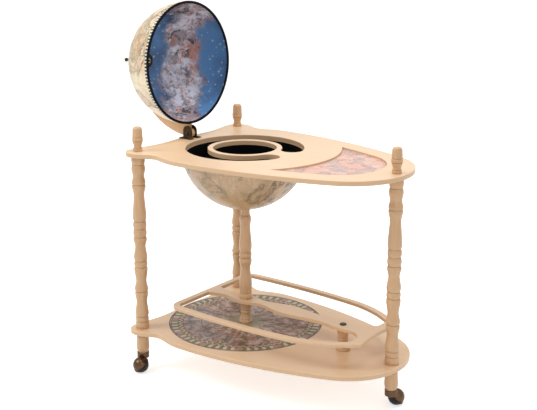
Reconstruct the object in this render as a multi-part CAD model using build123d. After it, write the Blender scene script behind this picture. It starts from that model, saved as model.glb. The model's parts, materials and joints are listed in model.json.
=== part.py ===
from build123d import *
import math
import os

# A globe bar on castors: a tear-drop tabletop with a sunken glass tray, a half-globe bowl
# below it, a hinged half-globe lid on a curved arm, three turned legs and a bottle shelf.
# Millimetres. +X runs from the globe towards the far leg, +Y to its left, +Z up.
# Everything is laid out about the globe's upright axis, then moved by origin_shift at the end.

# ------------------------------------------------------------------ boards
board_thickness = 12.0
board_edge_round = 1.5
opening_edge_round = 1.2
side_leg_edge_margin = 29.0
end_leg_x = 454.0
lobe_radius = 31.0
widest_x = -35.0
board_half_width = 229.0
side_leg_y = board_half_width - side_leg_edge_margin
flank_radius = 1120.0
nose_tip_x = 479.0
shoulder_waist_x = -130.0
shoulder_waist_inset = 17.0
back_edge_margin = 21.0
back_waist_inset = 5.0
side_leg_back_margin = 21.0
back_waist_y = 105.0

# openings and print recess of the tabletop
well_radius = 82.0
ring_width = 14.0
slot_bowl_margin = 12.0
slot_neck_angle = 10.0
recess_arc_radius = 250.0
recess_side_margin = 50.0
recess_tip_x = 406.0
recess_depth = 5.0
print_thickness = 0.6
print_clearance = 0.2
shelf_print_radius = 204.0

# ------------------------------------------------------------------ legs
upper_leg_length = 464.0
foot_length = 55.0
leg_bead_radius = 17.4
foot_bulge_radius = 17.0
finial_height = 63.0
finial_flange_radius = 13.8
stud_radius = 4.0
stud_fit = 0.1
stud_depth = 26.0

# ------------------------------------------------------------------ bottle rail and its supports
rail_top_height = 66.0
rail_thickness = 9.0
rail_left_x = -125.0
rail_widest_x = 30.0
rail_half_width = 172.0
rail_flank_radius = 2000.0
rail_shoulder_x = 240.0
rail_far_x = 408.0
rail_horn_x = 417.0
rail_horn_y = 80.0
rail_strip_width = 17.0
rail_end_strip_width = 22.0
rail_corner_radius = 34.0
rail_horn_radius = 16.0
rail_edge_round = 1.5
bar_pad_half_width = 24.0
bar_lens_x = 120.0
bar_lens_half_width = 26.0
bar_waist_half_width = 13.0
spindle_x = 311.0
spindle_base_radius = 18.0
rail_screw_radius = 2.5
rail_screw_cap_radius = 8.5
rail_screw_cap_height = 2.5
post_radius = 16.0

# ------------------------------------------------------------------ bowl and glass tray
bowl_radius = 165.0
bowl_centre_rise = 4.0
bowl_wall = 4.0
seat_gap = 0.3
tray_platform_depth = 50.0
tray_bowl_clearance = 8.8
tray_wall = 2.0
tray_well_radius = 86.0
locating_ring_width = 6.0
locating_ring_height = 12.0
locating_screw_count = 6
locating_screw_radius = 1.6
locating_screw_length = 20.0
bowl_washer_radius = 20.0
bowl_washer_thickness = 3.0
bowl_screw_radius = 3.0
bowl_screw_length = 45.0
bowl_screw_head_radius = 6.0
bowl_screw_head_height = 4.0

# ------------------------------------------------------------------ lid
lid_radius = 161.0
lid_wall = 3.0
lining_thickness = 1.2
trim_height = 4.0
trim_lip = 1.0
trim_inside_lip = 1.5
lid_seat_gap = 0.5
pole_plate_radius = 20.0
pole_plate_thickness = 2.5
pole_pin_radius = 3.0
pole_knob_reach = 42.0
pole_knob_radius = 5.5
pole_knob_neck_radius = 4.2
pole_knob_flange_radius = 8.0
pole_nut_across_flats = 11.0
pole_nut_height = 5.0
pole_fit = 0.1

# ------------------------------------------------------------------ arm and hinge
arm_width = 36.0
arm_thickness = 15.0
arm_edge_round = 1.5
arm_foot_angle = 4.0
arm_overrun_angle = 5.0
hinge_lid_margin = 27.0
hinge_height = 14.0
open_angle = 93.0
knuckle_radius = 11.5
heel_width = 9.0
hinge_pin_radius = 3.0
hinge_fit = 0.05
hinge_pin_head_radius = 5.5
hinge_pin_head_height = 2.0
bracket_width = 30.0
bracket_height = 34.0
bracket_thickness = 3.0
bracket_side_gap = 0.5
flange_length = 40.0
flange_width = 14.0
flange_thickness = 2.5
hinge_screw_radius = 2.0
hinge_screw_head_radius = 4.0
hinge_screw_length = 10.0
hinge_screw_inset = 6.0
arm_screw_radius = 2.0
arm_screw_head_radius = 3.6
arm_screw_angle = 14.0
arm_screw_bite = 16.0

# ------------------------------------------------------------------ castors
castor_height = 49.0
castor_ball_radius = 21.0
castor_trail = 20.0
castor_lean_offset = 13.0
castor_tilt = 40.0
castor_split_gap = 0.8
castor_lip_reach = 1.5
castor_lip_height = 3.5
castor_hood_wall = 2.5
castor_hood_inset = 0.4
castor_boss_radius = 6.0
castor_axle_radius = 2.5
castor_fit = 0.08
castor_barrel_radius = 15.8
castor_barrel_bottom = 34.0
castor_barrel_wall = 1.5
castor_flange_radius = 13.4
castor_flange_thickness = 2.6
castor_swivel_gap = 0.4
castor_stem_radius = 5.0
castor_stem_length = 30.0
castor_sleeve_wall = 1.5
castor_headings = {"front": -120.0, "back": 60.0, "end": 30.0}

# ------------------------------------------------------------------ worked-out levels
shelf_underside = castor_height + foot_length
shelf_top = shelf_underside + board_thickness
table_underside = shelf_top + upper_leg_length
table_top_level = table_underside + board_thickness
rail_top = shelf_top + rail_top_height
rail_underside = rail_top - rail_thickness
bowl_centre = table_top_level + bowl_centre_rise
bowl_bottom = bowl_centre - bowl_radius
bowl_inner_radius = bowl_radius - bowl_wall
hinge_x = -(lid_radius + hinge_lid_margin)
back_edge_x = hinge_x - back_edge_margin
back_waist_x = back_edge_x + back_waist_inset
side_leg_x = back_edge_x + side_leg_back_margin
slot_inner_radius = well_radius + ring_width
slot_outer_radius = bowl_radius - slot_bowl_margin
leg_places = {
    "front": (side_leg_x, -side_leg_y),
    "back": (side_leg_x, side_leg_y),
    "end": (end_leg_x, 0.0),
}
lid_centre = Vector(0, 0, table_top_level + lid_seat_gap)
hinge_point = Vector(hinge_x, 0, table_top_level + hinge_height)
arm_inner_radius = lid_radius + seat_gap
arm_outer_radius = arm_inner_radius + arm_width
pole_knob_distance = arm_outer_radius + pole_knob_reach - pole_knob_radius
opening_turn = Location(hinge_point) * Rotation(0, -open_angle, 0) * Location(-hinge_point)


def open_point(point):
    """Where a point of the closed lid lies when the lid stands open."""
    return (opening_turn * Location(point)).position


def castor_reach_x(place):
    """Furthest X of one castor's wheel lip."""
    heading = math.radians(castor_headings[place])
    axle_lean = math.cos(heading) * math.sin(math.radians(castor_tilt))
    ball_x = leg_places[place][0] + castor_lean_offset * math.cos(heading) - castor_trail * math.sin(heading)
    lip = (castor_ball_radius + castor_lip_reach) * math.sqrt(1 - axle_lean**2)
    return ball_x + lip - castor_split_gap / 2 * axle_lean


knob_when_open = open_point(lid_centre + Vector(0, 0, pole_knob_distance))
x_lowest = knob_when_open.X - pole_knob_radius
x_highest = max(nose_tip_x, castor_reach_x("end"))
origin_shift = -(x_lowest + x_highest) / 2

parts = {}


def keep(name, shape):
    """Store one finished piece, moved so that the row's origin is under its box's centre."""
    parts[name] = Pos(origin_shift, 0, 0) * shape


def together(shapes):
    """One shape of several separate solids."""
    joined = shapes[0]
    for shape in shapes[1:]:
        joined += shape
    return joined


def polar(radius, degrees):
    """Point of the XY plane at a radius and an angle."""
    angle = math.radians(degrees)
    return (radius * math.cos(angle), radius * math.sin(angle))


# ------------------------------------------------------------------ outlines
def nose_radius(half_width, flank, reach):
    """Radius of the nose arc that runs into both flank arcs, reach beyond the widest place."""
    return (2 * flank * half_width - half_width**2 - reach**2) / (2 * (flank - reach))


def flank_and_nose(half_width, flank, tip_x):
    """Points of the flank arc and nose arc on the +Y side: widest, flank middle, join, nose middle."""
    reach = tip_x - widest_x
    radius = nose_radius(half_width, flank, reach)
    flank_centre = (widest_x, half_width - flank)
    nose_centre_x = tip_x - radius
    join_angle = math.atan2(nose_centre_x - widest_x, flank - half_width)

    def on_flank(angle):
        return (flank_centre[0] + flank * math.sin(angle), flank_centre[1] + flank * math.cos(angle))

    nose_angle = (join_angle + math.pi / 2) / 2
    nose_middle = (nose_centre_x + radius * math.sin(nose_angle), radius * math.cos(nose_angle))
    return on_flank(0), on_flank(join_angle / 2), on_flank(join_angle), nose_middle


def mirrored(point):
    """The same point on the -Y side."""
    return (point[0], -point[1])


def nose_edges(half_width, flank, tip_x):
    """Flank arcs and nose arc from the widest place on +Y round the nose to the widest on -Y."""
    widest, flank_middle, join, nose_middle = flank_and_nose(half_width, flank, tip_x)
    return (
        ThreePointArc(widest, flank_middle, join)
        + ThreePointArc(join, nose_middle, (tip_x, 0))
        + ThreePointArc((tip_x, 0), mirrored(nose_middle), mirrored(join))
        + ThreePointArc(mirrored(join), mirrored(flank_middle), mirrored(widest))
    )


def board_outline():
    """Tear-drop outline shared by the tabletop and the shelf."""
    widest = (widest_x, board_half_width)
    waist = (shoulder_waist_x, board_half_width - shoulder_waist_inset)
    lobe_top = (side_leg_x, side_leg_y + lobe_radius)
    lobe_middle = (side_leg_x - lobe_radius * math.sqrt(0.5), side_leg_y + lobe_radius * math.sqrt(0.5))
    lobe_side = (side_leg_x - lobe_radius, side_leg_y)
    back_waist = (back_waist_x, back_waist_y)
    back_shoulder = ((lobe_side[0] + back_waist_x) / 2, (side_leg_y + back_waist_y) / 2)
    edges = nose_edges(board_half_width, flank_radius, nose_tip_x)
    edges += Spline(widest, waist, lobe_top, tangents=[(-1, 0), (-1, 0)])
    edges += ThreePointArc(lobe_top, lobe_middle, lobe_side)
    edges += Spline(
        lobe_side,
        back_shoulder,
        back_waist,
        (back_edge_x, 0),
        mirrored(back_waist),
        mirrored(back_shoulder),
        mirrored(lobe_side),
        tangents=[(0, -1), (0, -1)],
    )
    edges += ThreePointArc(mirrored(lobe_side), mirrored(lobe_middle), mirrored(lobe_top))
    edges += Spline(mirrored(lobe_top), mirrored(waist), mirrored(widest), tangents=[(1, 0), (1, 0)])
    return make_face(edges)


def recess_outline():
    """Print recess: the nose's shape set in by a margin, cut by an arc about the globe axis."""
    half_width = board_half_width - recess_side_margin
    widest = (widest_x, half_width)
    edges = nose_edges(half_width, flank_radius - recess_side_margin, recess_tip_x)
    edges += Line(mirrored(widest), widest)
    return make_face(edges) - Circle(recess_arc_radius)


def glass_slot_outline():
    """C-shaped slot round the well; its round ends leave a neck on the +X side."""
    middle = (slot_inner_radius + slot_outer_radius) / 2
    half = (slot_outer_radius - slot_inner_radius) / 2
    end = slot_neck_angle + math.degrees(math.asin(half / middle))
    tangent = (math.sin(math.radians(end)) * half, math.cos(math.radians(end)) * half)
    cap = polar(middle, end)
    upper_cap = (cap[0] + tangent[0], cap[1] - tangent[1])
    outer_end = polar(slot_outer_radius, end)
    inner_end = polar(slot_inner_radius, end)
    edges = ThreePointArc(outer_end, (-slot_outer_radius, 0), mirrored(outer_end))
    edges += ThreePointArc(mirrored(outer_end), mirrored(upper_cap), mirrored(inner_end))
    edges += ThreePointArc(mirrored(inner_end), (-slot_inner_radius, 0), inner_end)
    edges += ThreePointArc(inner_end, upper_cap, outer_end)
    return make_face(edges)


def plate(outline, bottom, thickness):
    """Flat piece with its lower face at a level."""
    return Pos(0, 0, bottom) * extrude(outline, thickness)


def outer_rim_edges(solid, level):
    """Edges of the outside outline of a flat piece at one level."""
    level_faces = [face for face in solid.faces() if abs(face.center().Z - level) < 0.01]
    flat_faces = [face for face in level_faces if abs(face.normal_at().Z) > 0.99]
    largest = max(flat_faces, key=lambda face: face.area)
    return largest.outer_wire().edges()


def opening_rim_edges(solid, level):
    """Edges round the openings in the flat face of a piece at one level."""
    level_faces = [face for face in solid.faces() if abs(face.center().Z - level) < 0.01]
    largest = max(level_faces, key=lambda face: face.area)
    return [edge for wire in largest.inner_wires() for edge in wire.edges()]


def rounded_board(outline, bottom, thickness, radius):
    """Plate whose outside edges are rounded above and below."""
    board = plate(outline, bottom, thickness)
    board = fillet(outer_rim_edges(board, bottom + thickness), radius)
    return fillet(outer_rim_edges(board, bottom), radius)


# ------------------------------------------------------------------ turned pieces
def turned(runs, length, radius_factor=1.0):
    """Turned piece standing on z = 0; each run is a smooth curve through (height, radius) points."""
    height_factor = length / runs[-1][-1][0]
    foot = (runs[0][0][1] * radius_factor, 0)
    crown = (runs[-1][-1][1] * radius_factor, length)
    edges = Line((0, 0), foot)
    for run in runs:
        points = [(radius * radius_factor, height * height_factor) for height, radius in run]
        edges += Spline(*points) if len(points) > 2 else Line(*points)
    if crown[0] > 0:
        edges += Line(crown, (0, length))
    edges += Line((0, length), (0, 0))
    return revolve(Plane.XZ * make_face(edges), Axis.Z)


def rod(radius, bottom, top, x=0.0, y=0.0):
    """Upright round bar between two levels."""
    return Pos(x, y, (bottom + top) / 2) * Cylinder(radius, top - bottom)


leg_runs = [
    [(0, 17.8), (9, 19.0), (19, 17.5)],
    [(19, 17.5), (26, 18.7), (33, 17.2)],
    [(33, 17.2), (44, 19.0), (73, 15.2), (94, 18.5), (102, 17.2)],
    [(102, 17.2), (110, 19.0), (131, 15.0), (161, 19.0), (169, 17.2)],
    [(169, 17.2), (178, 19.0), (186, 17.0)],
    [(186, 17.0), (198, 19.0), (225, 14.9), (243, 19.0), (251, 17.0)],
    [(251, 17.0), (262, 19.0), (273, 17.0)],
    [(273, 17.0), (283, 19.0), (293, 17.0)],
    [(293, 17.0), (310, 19.0), (361, 15.0), (384, 19.0), (391, 17.9)],
    [(391, 17.9), (398, 19.0), (413, 15.9), (431, 19.0), (444, 17.2)],
    [(444, 17.2), (455, 18.9), (467, 17.6)],
]
foot_runs = [
    [(0, 13.6), (5, 15.6), (14, 17.0), (32, 15.6), (40, 15.4)],
    [(40, 15.4), (45, 16.2), (49, 15.8)],
]
finial_runs = [
    [(0, 10.8), (4, 11.4), (8, 10.4)],
    [(8, 10.4), (13, 9.4), (22, 11.8), (26, 12.8)],
    [(26, 12.8), (31, 13.3), (36, 12.4)],
    [(36, 12.4), (48, 12.0), (57, 11.2), (61.5, 8.6), (63, 4.0)],
]
spindle_runs = [
    [(0, 18.0), (4, 18.0), (9, 15.6)],
    [(9, 15.6), (18, 13.0), (25, 12.6)],
    [(25, 12.6), (29, 13.4), (33, 12.4)],
    [(33, 12.4), (46, 14.4), (57, 16.2)],
]
post_runs = [
    [(0, 16.0), (8, 17.4), (16, 15.6)],
    [(16, 15.6), (46, 16.6), (84, 12.6), (104, 16.4), (114, 14.6)],
    [(114, 14.6), (122, 16.4), (130, 14.6)],
    [(130, 14.6), (150, 16.6), (196, 13.0), (222, 15.2), (232, 12.4)],
    [(232, 12.4), (240, 11.6), (252, 11.6)],
]
leg_nominal_radius = 19.0
foot_nominal_radius = 17.0
finial_nominal_radius = 13.3
spindle_nominal_radius = 18.0
post_nominal_radius = 16.0


def drilled_legs():
    """Finials, upper legs and feet at each place, with the studs that join them through the boards."""
    hole = stud_radius + stud_fit
    top_studs = []
    bottom_studs = []
    for place, (x, y) in leg_places.items():
        finial = turned(finial_runs, finial_height, finial_flange_radius / finial_nominal_radius)
        finial = Pos(x, y, table_top_level) * finial
        leg = turned(leg_runs, upper_leg_length, leg_bead_radius / leg_nominal_radius)
        leg = Pos(x, y, shelf_top) * leg
        foot = turned(foot_runs, foot_length, foot_bulge_radius / foot_nominal_radius)
        foot = Pos(x, y, castor_height) * foot
        finial -= rod(hole, table_top_level, table_top_level + stud_depth, x, y)
        leg -= rod(hole, table_underside - stud_depth, table_underside, x, y)
        leg -= rod(hole, shelf_top, shelf_top + stud_depth, x, y)
        foot_stud_depth = foot_length - castor_stem_length - 4
        foot -= rod(hole, shelf_underside - foot_stud_depth, shelf_underside, x, y)
        sleeve_hole = castor_stem_radius + castor_fit + castor_sleeve_wall + stud_fit
        foot -= rod(sleeve_hole, castor_height, castor_height + castor_stem_length + 1, x, y)
        keep(f"finial_{place}", finial)
        keep(f"upper_leg_{place}", leg)
        keep(f"foot_{place}", foot)
        reach = stud_depth - 1.0
        foot_reach = foot_stud_depth - 1.0
        top_studs.append(rod(stud_radius, table_underside - reach, table_top_level + reach, x, y))
        bottom_studs.append(rod(stud_radius, shelf_underside - foot_reach, shelf_top + reach, x, y))
    keep("top_leg_studs", together(top_studs))
    keep("bottom_leg_studs", together(bottom_studs))


# ------------------------------------------------------------------ tabletop and shelf
def make_boards():
    """Tabletop, shelf and the printed sheets let into them."""
    stud_hole = stud_radius + stud_fit
    table = rounded_board(board_outline(), table_underside, board_thickness, board_edge_round)
    table -= rod(well_radius, table_underside - 1, table_top_level + 1)
    table -= plate(glass_slot_outline(), table_underside - 1, board_thickness + 2)
    table = fillet(opening_rim_edges(table, table_top_level), opening_edge_round)
    table -= plate(recess_outline(), table_top_level - recess_depth, recess_depth + 1)
    shelf = rounded_board(board_outline(), shelf_underside, board_thickness, board_edge_round)
    shelf -= rod(shelf_print_radius + print_clearance, shelf_top - print_thickness, shelf_top + 1)
    for x, y in leg_places.values():
        table -= rod(stud_hole, table_underside - 1, table_top_level + 1, x, y)
        shelf -= rod(stud_hole, shelf_underside - 1, shelf_top + 1, x, y)
    screw_hole = rail_screw_radius + stud_fit
    for x in (0, spindle_x):
        shelf -= rod(screw_hole, shelf_underside - 1, shelf_top + 1, x)
    for angle in range(0, 360, 360 // locating_screw_count):
        x, y = polar(locating_ring_radius(), angle + 30)
        table -= rod(
            locating_screw_radius + stud_fit,
            table_underside - 1,
            table_underside + locating_screw_length - locating_ring_height + stud_fit,
            x,
            y,
        )
    for x, y in hinge_screw_places():
        hole_bottom = table_top_level - hinge_screw_length
        table -= rod(hinge_screw_radius + stud_fit, hole_bottom, table_top_level + 1, x, y)
    keep("table_top", table)
    keep("shelf_board", shelf)
    sheet = offset(recess_outline(), -print_clearance)
    keep("table_print", plate(sheet, table_top_level - recess_depth, print_thickness))
    disc = rod(shelf_print_radius, shelf_top - print_thickness, shelf_top) - rod(
        screw_hole, shelf_underside, shelf_top + 1
    )
    keep("shelf_print", disc)


# ------------------------------------------------------------------ bottle rail
def rail_flank(inset, end_x):
    """Points down one side of the rail, set in by a distance: back, widest, shoulder, middle, end."""
    radius = rail_flank_radius - inset
    centre = (rail_widest_x, rail_half_width - rail_flank_radius)
    slope = math.asin((rail_shoulder_x - rail_widest_x) / rail_flank_radius)
    inward = (-math.sin(slope), -math.cos(slope))
    outer_shoulder = (rail_shoulder_x, centre[1] + rail_flank_radius * math.cos(slope))
    chord = (rail_horn_x - outer_shoulder[0], rail_horn_y - outer_shoulder[1])
    along = chord[0] * inward[0] + chord[1] * inward[1]
    bend_radius = (chord[0] ** 2 + chord[1] ** 2) / (2 * along)
    bend = (outer_shoulder[0] + bend_radius * inward[0], outer_shoulder[1] + bend_radius * inward[1])
    bend_radius -= inset

    def on_bend(x):
        return (x, bend[1] + math.sqrt(bend_radius**2 - (x - bend[0]) ** 2))

    back_x = rail_left_x + inset
    back = (back_x, centre[1] + math.sqrt(radius**2 - (back_x - rail_widest_x) ** 2))
    shoulder = (bend[0] - bend_radius * inward[0], bend[1] - bend_radius * inward[1])
    widest = (rail_widest_x, rail_half_width - inset)
    return back, widest, shoulder, on_bend((shoulder[0] + end_x) / 2), on_bend(end_x)


def rail_sides(points):
    """Both long sides of the rail and its straight back through the points of one side."""
    back, widest, shoulder, middle, end = points
    edges = Line(mirrored(back), back)
    edges += ThreePointArc(back, widest, shoulder)
    edges += ThreePointArc(shoulder, middle, end)
    edges += ThreePointArc(mirrored(back), mirrored(widest), mirrored(shoulder))
    edges += ThreePointArc(mirrored(shoulder), mirrored(middle), mirrored(end))
    return edges


def rounded_corners(face, x, radius):
    """Flat face with its corners at one x rounded."""
    return fillet(face.vertices().filter_by_position(Axis.X, x - 1, x + 1), radius)


def rail_outline():
    """Outside of the rail: square back with round corners, bowed flanks, hollow far end."""
    horn = (rail_horn_x, rail_horn_y)
    edges = rail_sides(rail_flank(0, rail_horn_x))
    edges += ThreePointArc(horn, (rail_far_x, 0), mirrored(horn))
    face = rounded_corners(make_face(edges), rail_left_x, rail_corner_radius)
    return rounded_corners(face, rail_horn_x, rail_horn_radius)


def rail_inside():
    """Everything inside the rail's strip, before the middle bar is put back."""
    end_x = rail_far_x - rail_end_strip_width
    points = rail_flank(rail_strip_width, end_x)
    edges = rail_sides(points) + Line(points[-1], mirrored(points[-1]))
    inner_corner_radius = rail_corner_radius - rail_strip_width
    face = rounded_corners(make_face(edges), rail_left_x + rail_strip_width, inner_corner_radius)
    return rounded_corners(face, end_x, rail_horn_radius)


def bar_outline():
    """Middle bar of the rail: pads at the post and the spindle, a lens between, flared ends."""
    stations = [
        (rail_left_x - 20, 40),
        (rail_left_x + rail_strip_width, 26),
        (-55, bar_waist_half_width),
        (0, bar_pad_half_width),
        (55, bar_waist_half_width),
        (bar_lens_x, bar_lens_half_width),
        (spindle_x - 58, bar_waist_half_width + 4),
        (spindle_x, bar_pad_half_width),
        (rail_far_x - rail_end_strip_width - 16, 31),
        (rail_far_x - rail_end_strip_width, 50),
        (rail_far_x - 2, 66),
    ]
    upper = Spline(*stations)
    lower = Spline(*[mirrored(point) for point in stations])
    first = stations[0]
    last = stations[-1]
    return make_face(upper + lower + Line(first, mirrored(first)) + Line(last, mirrored(last)))


def make_rail():
    """Rail board, its spindle and post, and the long screws through them."""
    openings = rail_inside() - bar_outline()
    rail = rounded_board(rail_outline() - openings, rail_underside, rail_thickness, rail_edge_round)
    screw_hole = rail_screw_radius + stud_fit
    rail -= rod(screw_hole, rail_underside - 1, rail_top + 1, 0)
    rail -= rod(screw_hole, rail_underside - 1, rail_top + 1, spindle_x)
    keep("bottle_rail", rail)

    factor = spindle_base_radius / spindle_nominal_radius
    spindle_length = rail_underside - shelf_top
    for name, x in (("rail_spindle", spindle_x), ("post_lower", 0.0)):
        spindle = Pos(x, 0, shelf_top) * turned(spindle_runs, spindle_length, factor)
        keep(name, spindle - rod(screw_hole, shelf_top - 1, rail_underside + 1, x))

    post_length = bowl_bottom - seat_gap - rail_top
    post = Pos(0, 0, rail_top) * turned(post_runs, post_length, post_radius / post_nominal_radius)
    post -= rod(screw_hole, rail_top - 1, rail_top + stud_depth, 0)
    bowl_screw_tip = bowl_bottom + bowl_wall + bowl_washer_thickness - bowl_screw_length
    post -= rod(bowl_screw_radius + stud_fit, bowl_screw_tip - 1, bowl_bottom + 1, 0)
    keep("post_upper", post)

    head_radius = 2 * rail_screw_radius
    head_height = 2.5
    shank_bottom = shelf_underside - head_height
    post_screw = rod(rail_screw_radius, shank_bottom, rail_top + stud_depth - 1)
    post_screw += rod(head_radius, shank_bottom, shelf_underside)
    keep("post_screw", post_screw)
    spindle_screw = rod(rail_screw_radius, shank_bottom, rail_top, spindle_x)
    spindle_screw += rod(head_radius, shank_bottom, shelf_underside, spindle_x)
    keep("spindle_screw", spindle_screw)
    cap = rod(rail_screw_cap_radius, rail_top, rail_top + rail_screw_cap_height, spindle_x)
    cap = fillet(cap.edges().sort_by(Axis.Z)[-1], rail_screw_cap_height * 0.6)
    keep("spindle_screw_cap", cap)


# ------------------------------------------------------------------ bowl and tray
def sphere_cut_radius(radius, centre, level):
    """Radius of the circle in which a sphere cuts a level plane."""
    return math.sqrt(radius**2 - (level - centre) ** 2)


def locating_ring_outer():
    """Outside radius of the ring that centres the bowl under the tabletop."""
    bottom = table_underside - locating_ring_height
    return sphere_cut_radius(bowl_inner_radius, bowl_centre, bottom) - seat_gap


def locating_ring_radius():
    """Radius of the ring's screw circle."""
    return locating_ring_outer() - locating_ring_width / 2


def revolved(points):
    """Ring or dish turned from a closed polygon of (radius, level) points."""
    return revolve(Plane.XZ * make_face(Polyline(*points, close=True)), Axis.Z)


def make_bowl():
    """Half-globe bowl under the table with its locating ring, tray, washer and screws."""
    below = Box(4 * bowl_radius, 4 * bowl_radius, 2 * bowl_radius)
    below = Pos(0, 0, table_underside - bowl_radius) * below
    bowl = Pos(0, 0, bowl_centre) * (Sphere(bowl_radius) - Sphere(bowl_inner_radius)) & below
    washer_bottom = sphere_floor_level(bowl_washer_radius)
    bowl -= rod(bowl_screw_radius + stud_fit, bowl_bottom - 1, washer_bottom + 1)
    keep("bowl_shell", bowl)

    ring_outer = locating_ring_outer()
    ring_bottom = table_underside - locating_ring_height
    ring = rod(ring_outer, ring_bottom, table_underside) - rod(
        ring_outer - locating_ring_width, ring_bottom - 1, table_underside + 1
    )
    screws = []
    for angle in range(0, 360, 360 // locating_screw_count):
        x, y = polar(locating_ring_radius(), angle + 30)
        ring -= rod(locating_screw_radius + stud_fit, ring_bottom - 1, table_underside + 1, x, y)
        screw = rod(locating_screw_radius, ring_bottom, ring_bottom + locating_screw_length, x, y)
        screws.append(screw + rod(locating_screw_radius * 1.7, ring_bottom - 1.5, ring_bottom, x, y))
    keep("locating_ring", ring)
    keep("locating_ring_screws", together(screws))

    platform = table_top_level - tray_platform_depth
    floor = tray_floor_level()
    top = table_underside - seat_gap
    outer = sphere_cut_radius(bowl_inner_radius, bowl_centre, platform - tray_wall) - seat_gap
    tray = revolved(
        [
            (0, floor),
            (tray_well_radius, floor),
            (tray_well_radius, platform),
            (outer - tray_wall, platform),
            (outer - tray_wall, top),
            (outer, top),
            (outer, platform - tray_wall),
            (tray_well_radius + tray_wall, platform - tray_wall),
            (tray_well_radius + tray_wall, floor - tray_wall),
            (0, floor - tray_wall),
        ]
    )
    keep("glass_tray", tray)

    washer_top = washer_bottom + bowl_washer_thickness
    washer = rod(bowl_washer_radius, washer_bottom, washer_top) - rod(
        bowl_screw_radius + stud_fit, washer_bottom - 1, washer_top + 1
    )
    keep("bowl_washer", washer)
    screw = rod(bowl_screw_radius, washer_top - bowl_screw_length, washer_top)
    screw += rod(bowl_screw_head_radius, washer_top, washer_top + bowl_screw_head_height)
    keep("bowl_screw", screw)


def sphere_floor_level(radius):
    """Level at which a flat disc of this radius rests inside the bowl."""
    return bowl_centre - sphere_cut_radius(bowl_inner_radius, 0, radius)


def tray_floor_level():
    """Level of the well's floor, which stays clear of the bowl all round."""
    return sphere_floor_level(tray_well_radius + tray_wall) + tray_bowl_clearance + tray_wall


# ------------------------------------------------------------------ lid, in its closed place
def lid_piece(shape):
    """Move a piece made about the lid's centre to its place on the closed bar, then open it."""
    return opening_turn * (Location(lid_centre) * shape)


def half_shell(outer, wall, bottom):
    """Upper part of a hollow sphere above a level."""
    above = Pos(0, 0, bottom + outer) * Box(4 * outer, 4 * outer, 2 * outer)
    return (Sphere(outer) - Sphere(outer - wall)) & above


def arm_screw_axis():
    """Place and direction of the screw that ties the lid's rim to the arm."""
    angle = math.radians(arm_screw_angle)
    return Vector(-math.cos(angle), 0, math.sin(angle))


def radial_rod(radius, start, end):
    """Round bar along the arm screw's axis between two distances from the lid's centre."""
    direction = arm_screw_axis()
    return Plane(origin=direction * start, z_dir=direction) * Cylinder(
        radius, end - start, align=(Align.CENTER, Align.CENTER, Align.MIN)
    )


def arm_outline():
    """Side view of the arm: a curved band from the hinge knuckle over the lid's pole."""
    start = 180 - arm_foot_angle
    end = 90 - arm_overrun_angle
    middle = (start + end) / 2
    outer_middle = polar(arm_outer_radius, middle)
    edges = ThreePointArc(polar(arm_outer_radius, start), outer_middle, polar(arm_outer_radius, end))
    end_middle_radius = (arm_outer_radius + arm_inner_radius) / 2
    tip = polar(end_middle_radius, end)
    bulge = arm_width / 2
    direction = math.radians(end)
    edges += ThreePointArc(
        polar(arm_outer_radius, end),
        (tip[0] + bulge * math.sin(direction), tip[1] - bulge * math.cos(direction)),
        polar(arm_inner_radius, end),
    )
    inner_middle = polar(arm_inner_radius, middle)
    edges += ThreePointArc(polar(arm_inner_radius, end), inner_middle, polar(arm_inner_radius, start))
    edges += Line(polar(arm_inner_radius, start), polar(arm_outer_radius, start))
    return make_face(edges)


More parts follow.
